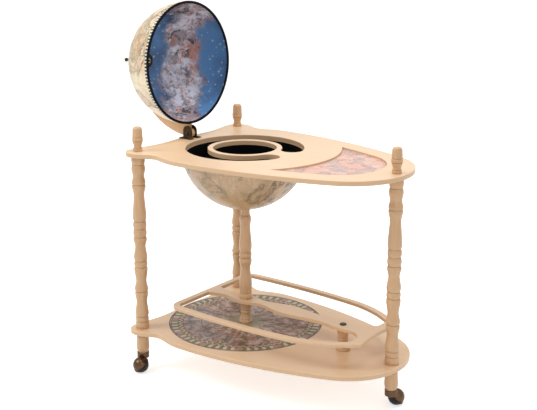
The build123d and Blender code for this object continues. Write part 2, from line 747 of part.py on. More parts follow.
def make_lid():
    """Lid shell, lining, rim trim, arm and pole fittings, all opened to the stop."""
    inner = lid_radius - lid_wall
    lining_inner = inner - lining_thickness
    pole_hole = rod(pole_pin_radius + pole_fit, 0, 2 * lid_radius)
    rim_hole = radial_rod(arm_screw_radius + stud_fit, 0, lid_radius + 1)
    shell = half_shell(lid_radius, lid_wall, trim_height) - pole_hole - rim_hole
    lining = half_shell(inner, lining_thickness, trim_height) - pole_hole - rim_hole
    trim_outer = sphere_cut_radius(lid_radius, 0, trim_height) + trim_lip
    trim_inner = sphere_cut_radius(lining_inner, 0, trim_height) - trim_inside_lip
    trim = rod(trim_outer, 0, trim_height) - rod(trim_inner, -1, trim_height + 1)
    keep("lid_shell", lid_piece(shell))
    keep("lid_lining", lid_piece(lining))
    keep("lid_rim_trim", lid_piece(trim))

    plate_top = sphere_cut_radius(lining_inner, 0, pole_plate_radius) - seat_gap / 3
    plate_bottom = plate_top - pole_plate_thickness
    nut_bottom = plate_bottom - pole_nut_height
    pole_plate = rod(pole_plate_radius, plate_bottom, plate_top) - pole_hole
    keep("pole_plate", lid_piece(pole_plate))
    nut = extrude(RegularPolygon(pole_nut_across_flats / 2, 6, major_radius=False), pole_nut_height)
    nut = Pos(0, 0, nut_bottom) * nut - pole_hole
    keep("pole_nut", lid_piece(nut))
    pin = rod(pole_pin_radius, nut_bottom - 2, pole_knob_distance)
    keep("pole_pin", lid_piece(pin))
    knob_foot = arm_outer_radius + seat_gap
    knob = Pos(0, 0, pole_knob_distance) * Sphere(pole_knob_radius)
    knob += rod(pole_knob_neck_radius, knob_foot, pole_knob_distance)
    knob += rod(pole_knob_flange_radius, knob_foot, knob_foot + 3)
    knob -= rod(pole_pin_radius + pole_fit, 0, pole_knob_distance + pole_fit)
    keep("pole_knob", lid_piece(knob))

    hinge_local = hinge_point - lid_centre
    knuckle_place = Pos(hinge_local.X, hinge_local.Z)
    heel_reach = hinge_height - seat_gap
    heel = Pos(-heel_width / 2, -heel_reach / 2) * Rectangle(heel_width, heel_reach)
    heel = knuckle_place * (Rot(0, 0, -open_angle) * heel)
    arm = Plane.XZ * extrude(arm_outline(), arm_thickness / 2, both=True)
    arm_sides = [face for face in arm.faces() if abs(abs(face.center().Y) - arm_thickness / 2) < 0.01]
    arm = fillet([edge for face in arm_sides for edge in face.outer_wire().edges()], arm_edge_round)
    knuckle_and_heel = knuckle_place * Circle(knuckle_radius) + heel
    arm += Plane.XZ * extrude(knuckle_and_heel, arm_thickness / 2, both=True)
    arm -= rod(pole_pin_radius + pole_fit, 0, 2 * lid_radius)
    arm -= cross_rod(hinge_pin_radius + hinge_fit, arm_thickness, hinge_local)
    arm -= radial_rod(arm_screw_radius + stud_fit, lid_radius - 1, lid_radius + arm_screw_bite)
    arm = arm - Sphere(lid_radius + seat_gap)
    keep("meridian_arm", lid_piece(arm))

    screw_head_seat = lining_inner - 0.6
    arm_screw = radial_rod(arm_screw_radius, screw_head_seat - 1, lid_radius + arm_screw_bite - 1)
    arm_screw += radial_rod(arm_screw_head_radius, screw_head_seat - 2, screw_head_seat)
    keep("arm_rim_screw", lid_piece(arm_screw))


# ------------------------------------------------------------------ hinge
def cross_rod(radius, length, centre):
    """Round bar along Y, centred on a point."""
    return Location(centre) * (Rotation(90, 0, 0) * Cylinder(radius, length))


def bracket_inner_y():
    """Distance of each bracket's inner face from the middle plane."""
    return arm_thickness / 2 + bracket_side_gap


def hinge_screw_places():
    """Centres of the four wood screws that hold the brackets down."""
    y = bracket_inner_y() + bracket_thickness + (flange_width - bracket_thickness) / 2
    reach = flange_length / 2 - hinge_screw_inset
    return [(hinge_x + along, across) for along in (-reach, reach) for across in (-y, y)]


def make_hinge():
    """Two arched brackets, the pin across them and their wood screws."""
    arch_centre = bracket_height - bracket_width / 2
    arch = Pos(0, arch_centre / 2) * Rectangle(bracket_width, arch_centre)
    arch += Pos(0, arch_centre) * Circle(bracket_width / 2)
    inner_y = bracket_inner_y()
    hole = cross_rod(hinge_pin_radius + hinge_fit, 4 * arm_thickness, hinge_point)
    for place, side in (("front", -1), ("back", 1)):
        wall_origin = (hinge_x, side * inner_y, table_top_level)
        wall_plane = Plane(origin=wall_origin, x_dir=(1, 0, 0), z_dir=(0, side, 0))
        wall = wall_plane * extrude(arch if side < 0 else mirror(arch, Plane.XZ), bracket_thickness)
        flange_y = side * (inner_y + flange_width / 2)
        flange = Pos(hinge_x, flange_y, table_top_level + flange_thickness / 2) * Box(
            flange_length, flange_width, flange_thickness
        )
        bracket = wall + flange - hole
        for x, y in hinge_screw_places():
            hole_top = table_top_level + 2 * flange_thickness
            bracket -= rod(hinge_screw_radius + stud_fit, table_top_level - 1, hole_top, x, y)
        keep(f"hinge_bracket_{place}", bracket)
    outside = inner_y + bracket_thickness
    pin = cross_rod(hinge_pin_radius, 2 * outside, hinge_point)
    for side in (-1, 1):
        head_centre = hinge_point + Vector(0, side * (outside + hinge_pin_head_height / 2), 0)
        pin += cross_rod(hinge_pin_head_radius, hinge_pin_head_height, head_centre)
    keep("hinge_pin", pin)
    screws = []
    seat = table_top_level + flange_thickness
    for x, y in hinge_screw_places():
        screw = rod(hinge_screw_radius, seat - hinge_screw_length, seat, x, y)
        screws.append(screw + rod(hinge_screw_head_radius, seat, seat + 1.4, x, y))
    keep("hinge_screws", together(screws))


# ------------------------------------------------------------------ castors
def tilted(shape):
    """Lean a piece made about the ball's centre away from the stem, and move it behind the stem.

    The axle leans along X and the ball trails along Y, so the wheel rolls straight behind the stem.
    """
    return Pos(castor_lean_offset, castor_trail, castor_ball_radius) * (Rot(0, castor_tilt, 0) * shape)


def castor_hood():
    """Half-ball hood with the upright barrel and stem that turn in the foot."""
    ball = castor_ball_radius
    half_gap = castor_split_gap / 2
    upper_half = Pos(0, 0, half_gap + 2 * ball) * Box(4 * ball, 4 * ball, 4 * ball)
    barrel_top = castor_height - 0.5
    recess_floor = castor_height - castor_flange_thickness - castor_swivel_gap
    barrel = rod(castor_barrel_radius, castor_barrel_bottom, barrel_top)
    barrel -= rod(castor_barrel_radius - castor_barrel_wall, recess_floor, castor_height)
    barrel -= tilted(Sphere(ball - castor_hood_wall))
    barrel -= tilted(rod(ball + castor_lip_reach + half_gap, -2 * ball, half_gap))
    hood = tilted(Sphere(ball - castor_hood_inset) & upper_half) + barrel
    hollow = (Sphere(ball - castor_hood_wall) & upper_half) - rod(castor_boss_radius, 0, ball)
    hood -= tilted(hollow)
    hood += rod(castor_stem_radius, recess_floor - 1, castor_height + castor_stem_length)
    return hood - tilted(rod(castor_axle_radius, -ball, ball - 2 * castor_hood_wall))


def castor_wheel():
    """Half-ball wheel with its tread lip, hollow behind, on a boss round the axle."""
    ball = castor_ball_radius
    half_gap = castor_split_gap / 2
    lower_half = Pos(0, 0, -half_gap - 2 * ball) * Box(4 * ball, 4 * ball, 4 * ball)
    wheel = Sphere(ball) & lower_half
    wheel += rod(ball + castor_lip_reach, -half_gap - castor_lip_height, -half_gap)
    wheel -= rod(ball - 4, -half_gap - 5, 0) - rod(castor_boss_radius, -ball, 0)
    return tilted(wheel - rod(castor_axle_radius + castor_fit, castor_axle_end() - castor_fit, 0))


def castor_axle_end():
    """Level of the axle's blind end inside the wheel, along its own line."""
    return -0.72 * castor_ball_radius


def castor_socket():
    """Flange under the foot with the sleeve that takes the stem."""
    inner = castor_stem_radius + castor_fit
    bottom = castor_height - castor_flange_thickness
    top = castor_height + castor_stem_length + 0.5
    socket = rod(castor_flange_radius, bottom, castor_height)
    socket += rod(inner + castor_sleeve_wall, castor_height, top)
    return socket - rod(inner, bottom - 1, top + 1)


def make_castor(place, x, y):
    """Ball castor at one leg: socket in the foot, hood, wheel and axle."""
    turn = Pos(x, y, 0) * Rot(0, 0, castor_headings[place])
    axle_top = castor_ball_radius - 2 * castor_hood_wall - castor_fit
    axle = rod(castor_axle_radius, castor_axle_end(), axle_top)
    keep(f"castor_hood_{place}", turn * castor_hood())
    keep(f"castor_wheel_{place}", turn * castor_wheel())
    keep(f"castor_axle_{place}", turn * tilted(axle))
    keep(f"castor_socket_{place}", Pos(x, y, 0) * castor_socket())


def main():
    """Build every piece and write one STEP file for each."""
    drilled_legs()
    make_boards()
    make_rail()
    make_bowl()
    make_lid()
    make_hinge()
    for place, (x, y) in leg_places.items():
        make_castor(place, x, y)
    os.makedirs("parts", exist_ok=True)
    for name, shape in parts.items():
        export_step(shape, f"parts/{name}.step")


main()
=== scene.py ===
import json
import logging
import math
from dataclasses import dataclass
from enum import Enum
from typing import Callable, Optional, Sequence

import bmesh
import bpy
from mathutils import Matrix, Vector


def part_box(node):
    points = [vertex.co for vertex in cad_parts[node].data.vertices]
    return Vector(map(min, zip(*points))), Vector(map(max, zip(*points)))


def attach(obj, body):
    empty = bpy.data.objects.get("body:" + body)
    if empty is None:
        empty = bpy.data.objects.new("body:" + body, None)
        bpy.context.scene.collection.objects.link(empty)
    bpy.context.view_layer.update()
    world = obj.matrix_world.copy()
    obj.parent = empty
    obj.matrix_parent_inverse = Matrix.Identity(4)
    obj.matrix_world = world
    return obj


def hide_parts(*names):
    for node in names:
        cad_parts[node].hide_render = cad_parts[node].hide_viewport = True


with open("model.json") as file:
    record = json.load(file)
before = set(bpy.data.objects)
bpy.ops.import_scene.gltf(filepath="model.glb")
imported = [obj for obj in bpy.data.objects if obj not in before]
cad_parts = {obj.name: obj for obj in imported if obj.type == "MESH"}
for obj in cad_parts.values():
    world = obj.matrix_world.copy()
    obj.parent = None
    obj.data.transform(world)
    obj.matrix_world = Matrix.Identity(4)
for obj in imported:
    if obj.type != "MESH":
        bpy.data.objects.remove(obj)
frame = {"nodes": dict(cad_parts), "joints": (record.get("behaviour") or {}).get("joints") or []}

log = logging.getLogger("globe_bar")

Colour = tuple[float, float, float]
Point2 = tuple[float, float]
Point3 = tuple[float, float, float]
Socket = bpy.types.NodeSocket
Sockets = dict[str, Socket]
Shape = bmesh.types.BMesh
FULL_TURN = 2 * math.pi
MERGE = 1e-6
WHITE = (1.0, 1.0, 1.0, 1.0)
PLACES = ("front", "back", "end")


# --------------------------------------------------------------------------
# shared measures
# --------------------------------------------------------------------------


class Grain(Enum):
    """Way in which the wood's fibres run, with how closely they lie along X, Y and Z."""

    LENGTH = (1.6, 14.0, 14.0)
    UPRIGHT = (14.0, 14.0, 1.8)
    CURVED = (5.0, 16.0, 5.0)


def node_middle(node: str) -> Vector:
    """Middle of a solid node's box."""
    low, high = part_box(node)
    return (low + high) / 2


@dataclass(frozen=True)
class BarPlace:
    """Where the main pieces of the bar stand, in metres."""

    axis_x: float
    table_top: float
    shelf_top: float
    hinge_x: float
    hinge_z: float
    open_angle: float
    bowl_rise: float = 0.004
    lid_rise: float = 0.0005

    @classmethod
    def measured(cls) -> "BarPlace":
        """Read the places from the solid nodes.

        Returns:
            The places.
        """
        pin = node_middle("hinge_pin")
        hinge = next(joint for joint in frame["joints"] if joint["name"] == "lid_hinge")
        return cls(
            axis_x=node_middle("bowl_shell").x,
            table_top=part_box("table_top")[1].z,
            shelf_top=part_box("shelf_board")[1].z,
            hinge_x=pin.x,
            hinge_z=pin.z,
            open_angle=max(hinge["range_deg"]),
        )

    def opening(self) -> Matrix:
        """Turn that carries the shut lid to its open place.

        Returns:
            The turn about the hinge pin.
        """
        pin = Vector((self.hinge_x, 0.0, self.hinge_z))
        turn = Matrix.Rotation(math.radians(-self.open_angle), 4, "Y")
        return Matrix.Translation(pin) @ turn @ Matrix.Translation(-pin)

    def lid_frame(self) -> Matrix:
        """Place of the open lid's own frame: centre of its rim, pole along its Z.

        Returns:
            Matrix from the lid's frame to the bar's.
        """
        return self.opening() @ Matrix.Translation((self.axis_x, 0.0, self.table_top + self.lid_rise))

    def bowl_frame(self) -> Matrix:
        """Place of the bowl's own frame: the globe's centre.

        Returns:
            Matrix from the bowl's frame to the bar's.
        """
        return Matrix.Translation((self.axis_x, 0.0, self.table_top + self.bowl_rise))


PLACE = BarPlace.measured()


# --------------------------------------------------------------------------
# shader trees
# --------------------------------------------------------------------------


class Tree:
    """Short way to add and join the nodes of one shader tree."""

    def __init__(self, tree: bpy.types.NodeTree) -> None:
        """Keep the tree.

        Args:
            tree: Node tree that the nodes go into.
        """
        self.tree = tree

    def feed(self, socket: Socket, value: object) -> None:
        """Join a socket to another, or set its value.

        Args:
            socket: Input to fill.
            value: Output socket, number or tuple.
        """
        if isinstance(value, Socket):
            self.tree.links.new(value, socket)
        elif value is not None:
            socket.default_value = value

    def node(
        self, kind: str, inputs: Optional[dict[object, object]] = None, **settings: object
    ) -> bpy.types.Node:
        """Add one node.

        Args:
            kind: Blender's name of the node type.
            inputs: Socket name or number to value or socket.
            settings: Properties of the node.

        Returns:
            The new node.
        """
        made = self.tree.nodes.new(kind)
        for name, value in settings.items():
            setattr(made, name, value)
        for key, value in (inputs or {}).items():
            self.feed(made.inputs[key], value)
        return made

    def math(self, operation: str, *values: object, clamp: bool = False) -> Socket:
        """Add a Math node and give back its result."""
        made = self.node("ShaderNodeMath", dict(enumerate(values)), operation=operation, use_clamp=clamp)
        return made.outputs[0]

    def blend(self, factor: object, low: object, high: object, mode: str = "MIX") -> Socket:
        """Mix two colours.

        Args:
            factor: Share of the second colour.
            low: First colour.
            high: Second colour.
            mode: Blender's blend mode.

        Returns:
            The mixed colour.
        """
        inputs = {0: factor, 6: opaque(low), 7: opaque(high)}
        made = self.node("ShaderNodeMix", inputs, data_type="RGBA", blend_type=mode)
        return made.outputs[2]

    def lay(self, colour: object, tint: object, mask: object, share: object) -> Socket:
        """Lay a tint over a colour.

        Args:
            colour: Colour below.
            tint: Colour that goes over it.
            mask: Where it goes.
            share: How much of it shows there.

        Returns:
            The colour with the tint.
        """
        return self.blend(self.math("MULTIPLY", mask, share), colour, tint)

    def noise(
        self, vector: object, scale: float, detail: float = 4.0, rough: float = 0.5, warp: float = 0.0
    ) -> Socket:
        """Add a noise texture and give back its grey value.

        Args:
            vector: Where the noise is read.
            scale: Size of the noise.
            detail: Octaves.
            rough: Share of each finer octave.
            warp: Distortion.

        Returns:
            The grey value.
        """
        inputs = {
            "Vector": vector,
            "Scale": scale,
            "Detail": detail,
            "Roughness": rough,
            "Distortion": warp,
        }
        return self.node("ShaderNodeTexNoise", inputs).outputs["Fac"]

    def step(self, value: object, low: float, high: float) -> Socket:
        """Smooth step from 0 at low to 1 at high, which may be the smaller one."""
        inputs = {"Value": value, "From Min": low, "From Max": high, "To Min": 0.0, "To Max": 1.0}
        return self.node("ShaderNodeMapRange", inputs, interpolation_type="SMOOTHSTEP").outputs["Result"]

    def between(self, value: object, low: float, high: float, soft: float) -> Socket:
        """Mask that is 1 between two values.

        Args:
            value: Value that is judged.
            low: Lower value.
            high: Upper value.
            soft: Half the width of each soft edge.

        Returns:
            The mask.
        """
        rise = self.step(value, low - soft, low + soft)
        fall = self.step(value, high + soft, high - soft)
        return self.math("MULTIPLY", rise, fall)

    def separate(self, vector: object) -> tuple[Socket, Socket, Socket]:
        """Split a vector into its three numbers."""
        made = self.node("ShaderNodeSeparateXYZ", {"Vector": vector})
        return made.outputs[0], made.outputs[1], made.outputs[2]

    def placed(self, vector: object, matrix: Matrix) -> Socket:
        """Carry a point through the inverse of a rigid place.

        Args:
            vector: Point in the bar's frame.
            matrix: Place of the piece's own frame.

        Returns:
            The point in the piece's own frame.
        """
        inverse = matrix.inverted()
        inputs = {"Vector": vector, "Location": inverse.to_translation(), "Rotation": inverse.to_euler()}
        return self.node("ShaderNodeMapping", inputs, vector_type="POINT").outputs[0]

    def stretched(self, vector: object, scale: Point3) -> Socket:
        """Scale a vector along its three directions."""
        return self.node("ShaderNodeMapping", {"Vector": vector, "Scale": scale}).outputs[0]


def opaque(value: object) -> object:
    """Give a plain colour its alpha, and leave a socket as it is.

    Args:
        value: Colour or socket.

    Returns:
        Colour with alpha, or the same socket.
    """
    if isinstance(value, tuple) and len(value) == 3:
        return (*value, 1.0)
    return value


@dataclass(frozen=True)
class Effect:
    """A shader effect that several finishes share: a node group with named sockets."""

    name: str
    inputs: tuple[tuple[str, str, object], ...]
    outputs: tuple[str, ...]
    build: Callable[[Tree, Sockets], Sockets]

    def group(self) -> bpy.types.NodeTree:
        """Build the group once and give it back.

        Returns:
            The node group.
        """
        ready = bpy.data.node_groups.get(self.name)
        if ready:
            return ready
        made = bpy.data.node_groups.new(self.name, "ShaderNodeTree")
        for label, kind, default in self.inputs:
            socket = made.interface.new_socket(label, in_out="INPUT", socket_type=kind)
            if default is not None:
                socket.default_value = default
        for label in self.outputs:
            made.interface.new_socket(label, in_out="OUTPUT", socket_type="NodeSocketFloat")
        tree = Tree(made)
        entry = made.nodes.new("NodeGroupInput")
        leave = made.nodes.new("NodeGroupOutput")
        results = self.build(tree, {label: entry.outputs[label] for label, _, _ in self.inputs})
        for label, result in results.items():
            tree.feed(leave.inputs[label], result)
        return made

    def use(self, tree: Tree, **values: object) -> Sockets:
        """Place the group in a tree.

        Args:
            tree: Tree of a material.
            values: Input name to value or socket.

        Returns:
            The group's outputs by name.
        """
        made = tree.node("ShaderNodeGroup", node_tree=self.group())
        for label, value in values.items():
            tree.feed(made.inputs[label], value)
        return {label: made.outputs[label] for label in self.outputs}


def build_grain(tree: Tree, given: Sockets) -> Sockets:
    """Long soft fibres, fine pores and broad clouding of lacquered wood.

    Args:
        tree: The group's tree.
        given: Its inputs by name.

    Returns:
        Its outputs by name.
    """
    across = given["Vector"]
    cloud = tree.noise(across, 2.6, 3.0, 0.5, 0.6)
    fibre = tree.noise(across, 11.0, 8.0, 0.62, 0.9)
    pore = tree.noise(across, 62.0, 3.0, 0.6)
    tone = tree.math("MULTIPLY_ADD", fibre, 0.62, tree.math("MULTIPLY", cloud, 0.38))
    tone = tree.step(tone, 0.3, 0.72)
    height = tree.math("MULTIPLY_ADD", pore, 0.6, tree.math("MULTIPLY", fibre, 0.4))
    pores = tree.step(pore, 0.64, 0.78)
    return {"Tone": tone, "Pores": pores, "Height": height}


def build_land(tree: Tree, given: Sockets) -> Sockets:
    """Made-up land and sea: masks of land, of its inked coast and of its hills.

    Args:
        tree: The group's tree.
        given: Its inputs by name.

    Returns:
        Its outputs by name.
    """
    spot = given["Vector"]
    broad = tree.node(
        "ShaderNodeTexNoise",
        {"Vector": spot, "Scale": given["Scale"], "Detail": 9.0, "Roughness": 0.58, "Distortion": 0.35},
    ).outputs["Fac"]
    land = tree.step(broad, 0.505, 0.52)
    shore = tree.math("ABSOLUTE", tree.math("SUBTRACT", broad, 0.512))
    coast = tree.step(shore, 0.018, 0.005)
    shallows = tree.math("MULTIPLY", tree.step(shore, 0.07, 0.01), tree.math("SUBTRACT", 1.0, land))
    ridges = tree.noise(spot, 150.0, 5.0, 0.7)
    hills = tree.math("MULTIPLY", tree.step(ridges, 0.5, 0.62), land)
    country = tree.noise(spot, 21.0, 3.0, 0.45, 0.5)
    return {"Land": land, "Coast": coast, "Shallows": shallows, "Hills": hills, "Country": country}


def build_inkwork(tree: Tree, given: Sockets) -> Sockets:
    """Scattered small figures made of loose pen strokes, and fine hatching between them.

    Args:
        tree: The group's tree.
        given: Its inputs by name.

    Returns:
        Its outputs by name.
    """
    spot = given["Vector"]
    cell = tree.node("ShaderNodeTexVoronoi", {"Vector": spot, "Scale": given["Scale"]}, feature="F1")
    pick = tree.separate(cell.outputs["Color"])[0]
    frayed = tree.math("MULTIPLY_ADD", tree.noise(spot, 120.0, 4.0, 0.7), 0.5, cell.outputs["Distance"])
    close = tree.step(frayed, 0.52, 0.36)
    upright = tree.stretched(spot, (1.0, 1.0, 2.4))
    stroke = tree.step(tree.noise(upright, 190.0, 4.0, 0.66, 1.6), 0.47, 0.56)
    chosen = tree.math("GREATER_THAN", pick, 0.42)
    figures = tree.math("MULTIPLY", tree.math("MULTIPLY", close, stroke), chosen)
    lying = tree.stretched(spot, (0.4, 1.0, 1.0))
    hatch = tree.step(tree.noise(lying, 420.0, 3.0, 0.6, 0.6), 0.56, 0.66)
    return {"Figures": figures, "Hatch": hatch}


def build_rules(tree: Tree, given: Sockets) -> Sockets:
    """Two families of thin ruled lines, one unit apart in each coordinate.

    Args:
        tree: The group's tree.
        given: Its inputs by name.

    Returns:
        Its outputs by name.
    """
    lines = []
    for label in ("Along", "Across"):
        offset = tree.math("SUBTRACT", tree.math("FRACT", given[label]), 0.5)
        away = tree.math("SUBTRACT", 0.5, tree.math("ABSOLUTE", offset))
        ratio = tree.math("DIVIDE", away, given["Width"])
        lines.append(tree.step(ratio, 1.0, 0.4))
    return {"Lines": tree.math("MAXIMUM", *lines)}


def build_ageing(tree: Tree, given: Sockets) -> Sockets:
    """Brown stains, fine paper mottle and tiny ink specks of an aged print.

    Args:
        tree: The group's tree.
        given: Its inputs by name.

    Returns:
        Its outputs by name.
    """
    spot = given["Vector"]
    stain = tree.step(tree.noise(spot, 9.0, 6.0, 0.62, 0.4), 0.45, 0.75)
    mottle = tree.noise(spot, 55.0, 5.0, 0.65)
    speck = tree.step(tree.noise(spot, 330.0, 2.0, 0.5), 0.63, 0.74)
    height = tree.noise(spot, 700.0, 2.0, 0.5)
    return {"Stain": stain, "Mottle": mottle, "Specks": speck, "Height": height}


def build_handling(tree: Tree, given: Sockets) -> Sockets:
    """Smears, light scuffs and edge rub of a handled hard surface.

    Args:
        tree: The group's tree.
        given: Its inputs by name.

    Returns:
        Its outputs by name.
    """
    spot = given["Vector"]
    smear = tree.noise(spot, 26.0, 5.0, 0.6, 0.7)
    scuff = tree.step(tree.noise(tree.stretched(spot, (1.0, 1.0, 6.0)), 210.0, 3.0, 0.6), 0.64, 0.76)
    bent = tree.node("ShaderNodeBevel", {"Radius": 0.0012}, samples=4).outputs["Normal"]
    flat = tree.node("ShaderNodeNewGeometry").outputs["Normal"]
    match = tree.node("ShaderNodeVectorMath", {0: bent, 1: flat}, operation="DOT_PRODUCT")
    edge = tree.step(match.outputs["Value"], 0.985, 0.9)
    edge = tree.math("MULTIPLY", edge, tree.step(smear, 0.35, 0.6))
    return {"Smear": smear, "Scuffs": scuff, "Edge": edge}


VECTOR_IN = ("Vector", "NodeSocketVector", None)
GRAIN = Effect("wood_grain", (VECTOR_IN,), ("Tone", "Pores", "Height"), build_grain)
LAND = Effect(
    "old_chart_land",
    (VECTOR_IN, ("Scale", "NodeSocketFloat", 8.0)),
    ("Land", "Coast", "Shallows", "Hills", "Country"),
    build_land,
)
INKWORK = Effect(
    "pen_figures", (VECTOR_IN, ("Scale", "NodeSocketFloat", 22.0)), ("Figures", "Hatch"), build_inkwork
)
RULES = Effect(
    "ruled_lines",
    (
        ("Along", "NodeSocketFloat", 0.0),
        ("Across", "NodeSocketFloat", 0.0),
        ("Width", "NodeSocketFloat", 0.02),
    ),
    ("Lines",),
    build_rules,
)
AGEING = Effect("aged_print", (VECTOR_IN,), ("Stain", "Mottle", "Specks", "Height"), build_ageing)
HANDLING = Effect("handling_marks", (VECTOR_IN,), ("Smear", "Scuffs", "Edge"), build_handling)


# --------------------------------------------------------------------------
# finishes
# --------------------------------------------------------------------------

# Pale tone of the board wood's grain; also the colour of the painted highlight on the crests of turned
# beads.
BOARD_PALE_AND_BEAD_HIGHLIGHT: Colour = (0.850, 0.600, 0.380)


class Finish:
    """Base of all finishes: one material with a Principled shader."""

    name: str

    def material(self) -> bpy.types.Material:
        """Build the material once and give it back.

        Returns:
            The material.
        """
        ready = bpy.data.materials.get(self.name)
        if ready:
            return ready
        made = bpy.data.materials.new(self.name)
        made.use_nodes = True
        made.node_tree.nodes.clear()
        tree = Tree(made.node_tree)
        shader = tree.node("ShaderNodeBsdfPrincipled")
        tree.node("ShaderNodeOutputMaterial", {"Surface": shader.outputs[0]})
        spot = tree.node("ShaderNodeTexCoord").outputs["Object"]
        self.dress(tree, shader, spot)
        return made

    def dress(self, tree: Tree, shader: bpy.types.Node, spot: Socket) -> None:
        """Fill the shader's sockets.

        Args:
            tree: The material's tree.
            shader: Its Principled shader.
            spot: Object coordinates.
        """
        raise NotImplementedError

    @staticmethod
    def roughen(tree: Tree, shader: bpy.types.Node, mask: object, spread: float, base: float) -> None:
        """Make the shader rougher where a mask is high.

        Args:
            tree: The material's tree.
            shader: Its shader.
            mask: Mask over the surface.
            spread: Roughness that the mask adds.
            base: Roughness where the mask is 0.
        """
        tree.feed(shader.inputs["Roughness"], tree.math("MULTIPLY_ADD", mask, spread, base))

    @staticmethod
    def bump(tree: Tree, shader: bpy.types.Node, height: object, strength: float, depth: float) -> None:
        """Give the shader a bump.

        Args:
            tree: The material's tree.
            shader: Its shader.
            height: Height socket.
            strength: Strength of the bump.
            depth: Depth of the bump in metres.
        """
        bump = tree.node("ShaderNodeBump", {"Height": height, "Strength": strength, "Distance": depth})
        tree.feed(shader.inputs["Normal"], bump.outputs["Normal"])


@dataclass(frozen=True)
class LacqueredWood(Finish):
    """Pale beige wood under satin lacquer, with painted shade in the grooves and on the boards' sides,
    and painted highlights on the beads.
    """

    name: str
    grain: Grain
    light: Colour = BOARD_PALE_AND_BEAD_HIGHLIGHT
    dark: Colour = (0.785, 0.530, 0.310)
    pore: Colour = (0.52, 0.33, 0.18)
    # Painted shade laid into the grooves of turned pieces.
    crease: Colour = (0.30, 0.165, 0.075)
    # Painted shade on the side faces of the boards below, darker than their lit tops.
    side: Colour = (0.62, 0.385, 0.205)
    boards: tuple[str, ...] = ()
    # How far the painted side shade reaches below each board's foot, where it stops below its top, and
    # how soft its edges are.
    side_shade_foot: float = 0.0005
    side_shade_top: float = 0.0016
    side_shade_soft: float = 0.0007

    def dress(self, tree: Tree, shader: bpy.types.Node, spot: Socket) -> None:
        """Fill the shader's sockets with grain that runs the right way, and with painted shade and
        painted highlights.

        Args:
            tree: The material's tree.
            shader: Its Principled shader.
            spot: Object coordinates.
        """
        grain = GRAIN.use(tree, Vector=tree.stretched(spot, self.grain.value))
        marks = HANDLING.use(tree, Vector=spot)
        colour = tree.lay(self.light, self.dark, grain["Tone"], 0.7)
        colour = tree.lay(colour, self.pore, grain["Pores"], 0.18)
        if self.grain is Grain.UPRIGHT:
            # Painted shade in the grooves and painted highlight on the bead crests of turned pieces,
            # found from the mesh's pointiness.
            bend = tree.node("ShaderNodeNewGeometry").outputs["Pointiness"]
            colour = tree.lay(colour, self.crease, tree.step(bend, 0.492, 0.44), 0.5)
            colour = tree.lay(colour, BOARD_PALE_AND_BEAD_HIGHLIGHT, tree.step(bend, 0.51, 0.56), 0.3)
        # Painted shade on each board's side faces, where less light falls than on its top.
        for board in self.boards:
            low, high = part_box(board)
            level = tree.separate(spot)[2]
            cut = tree.between(level, low.z - self.side_shade_foot, high.z - self.side_shade_top, self.side_shade_soft)
            colour = tree.lay(colour, self.side, cut, 0.55)
        tree.feed(shader.inputs["Base Color"], colour)
        self.roughen(tree, shader, marks["Smear"], 0.12, 0.34)
        shader.inputs["Coat Weight"].default_value = 0.22
        shader.inputs["Coat Roughness"].default_value = 0.3
        self.bump(tree, shader, grain["Height"], 0.14, 0.0004)


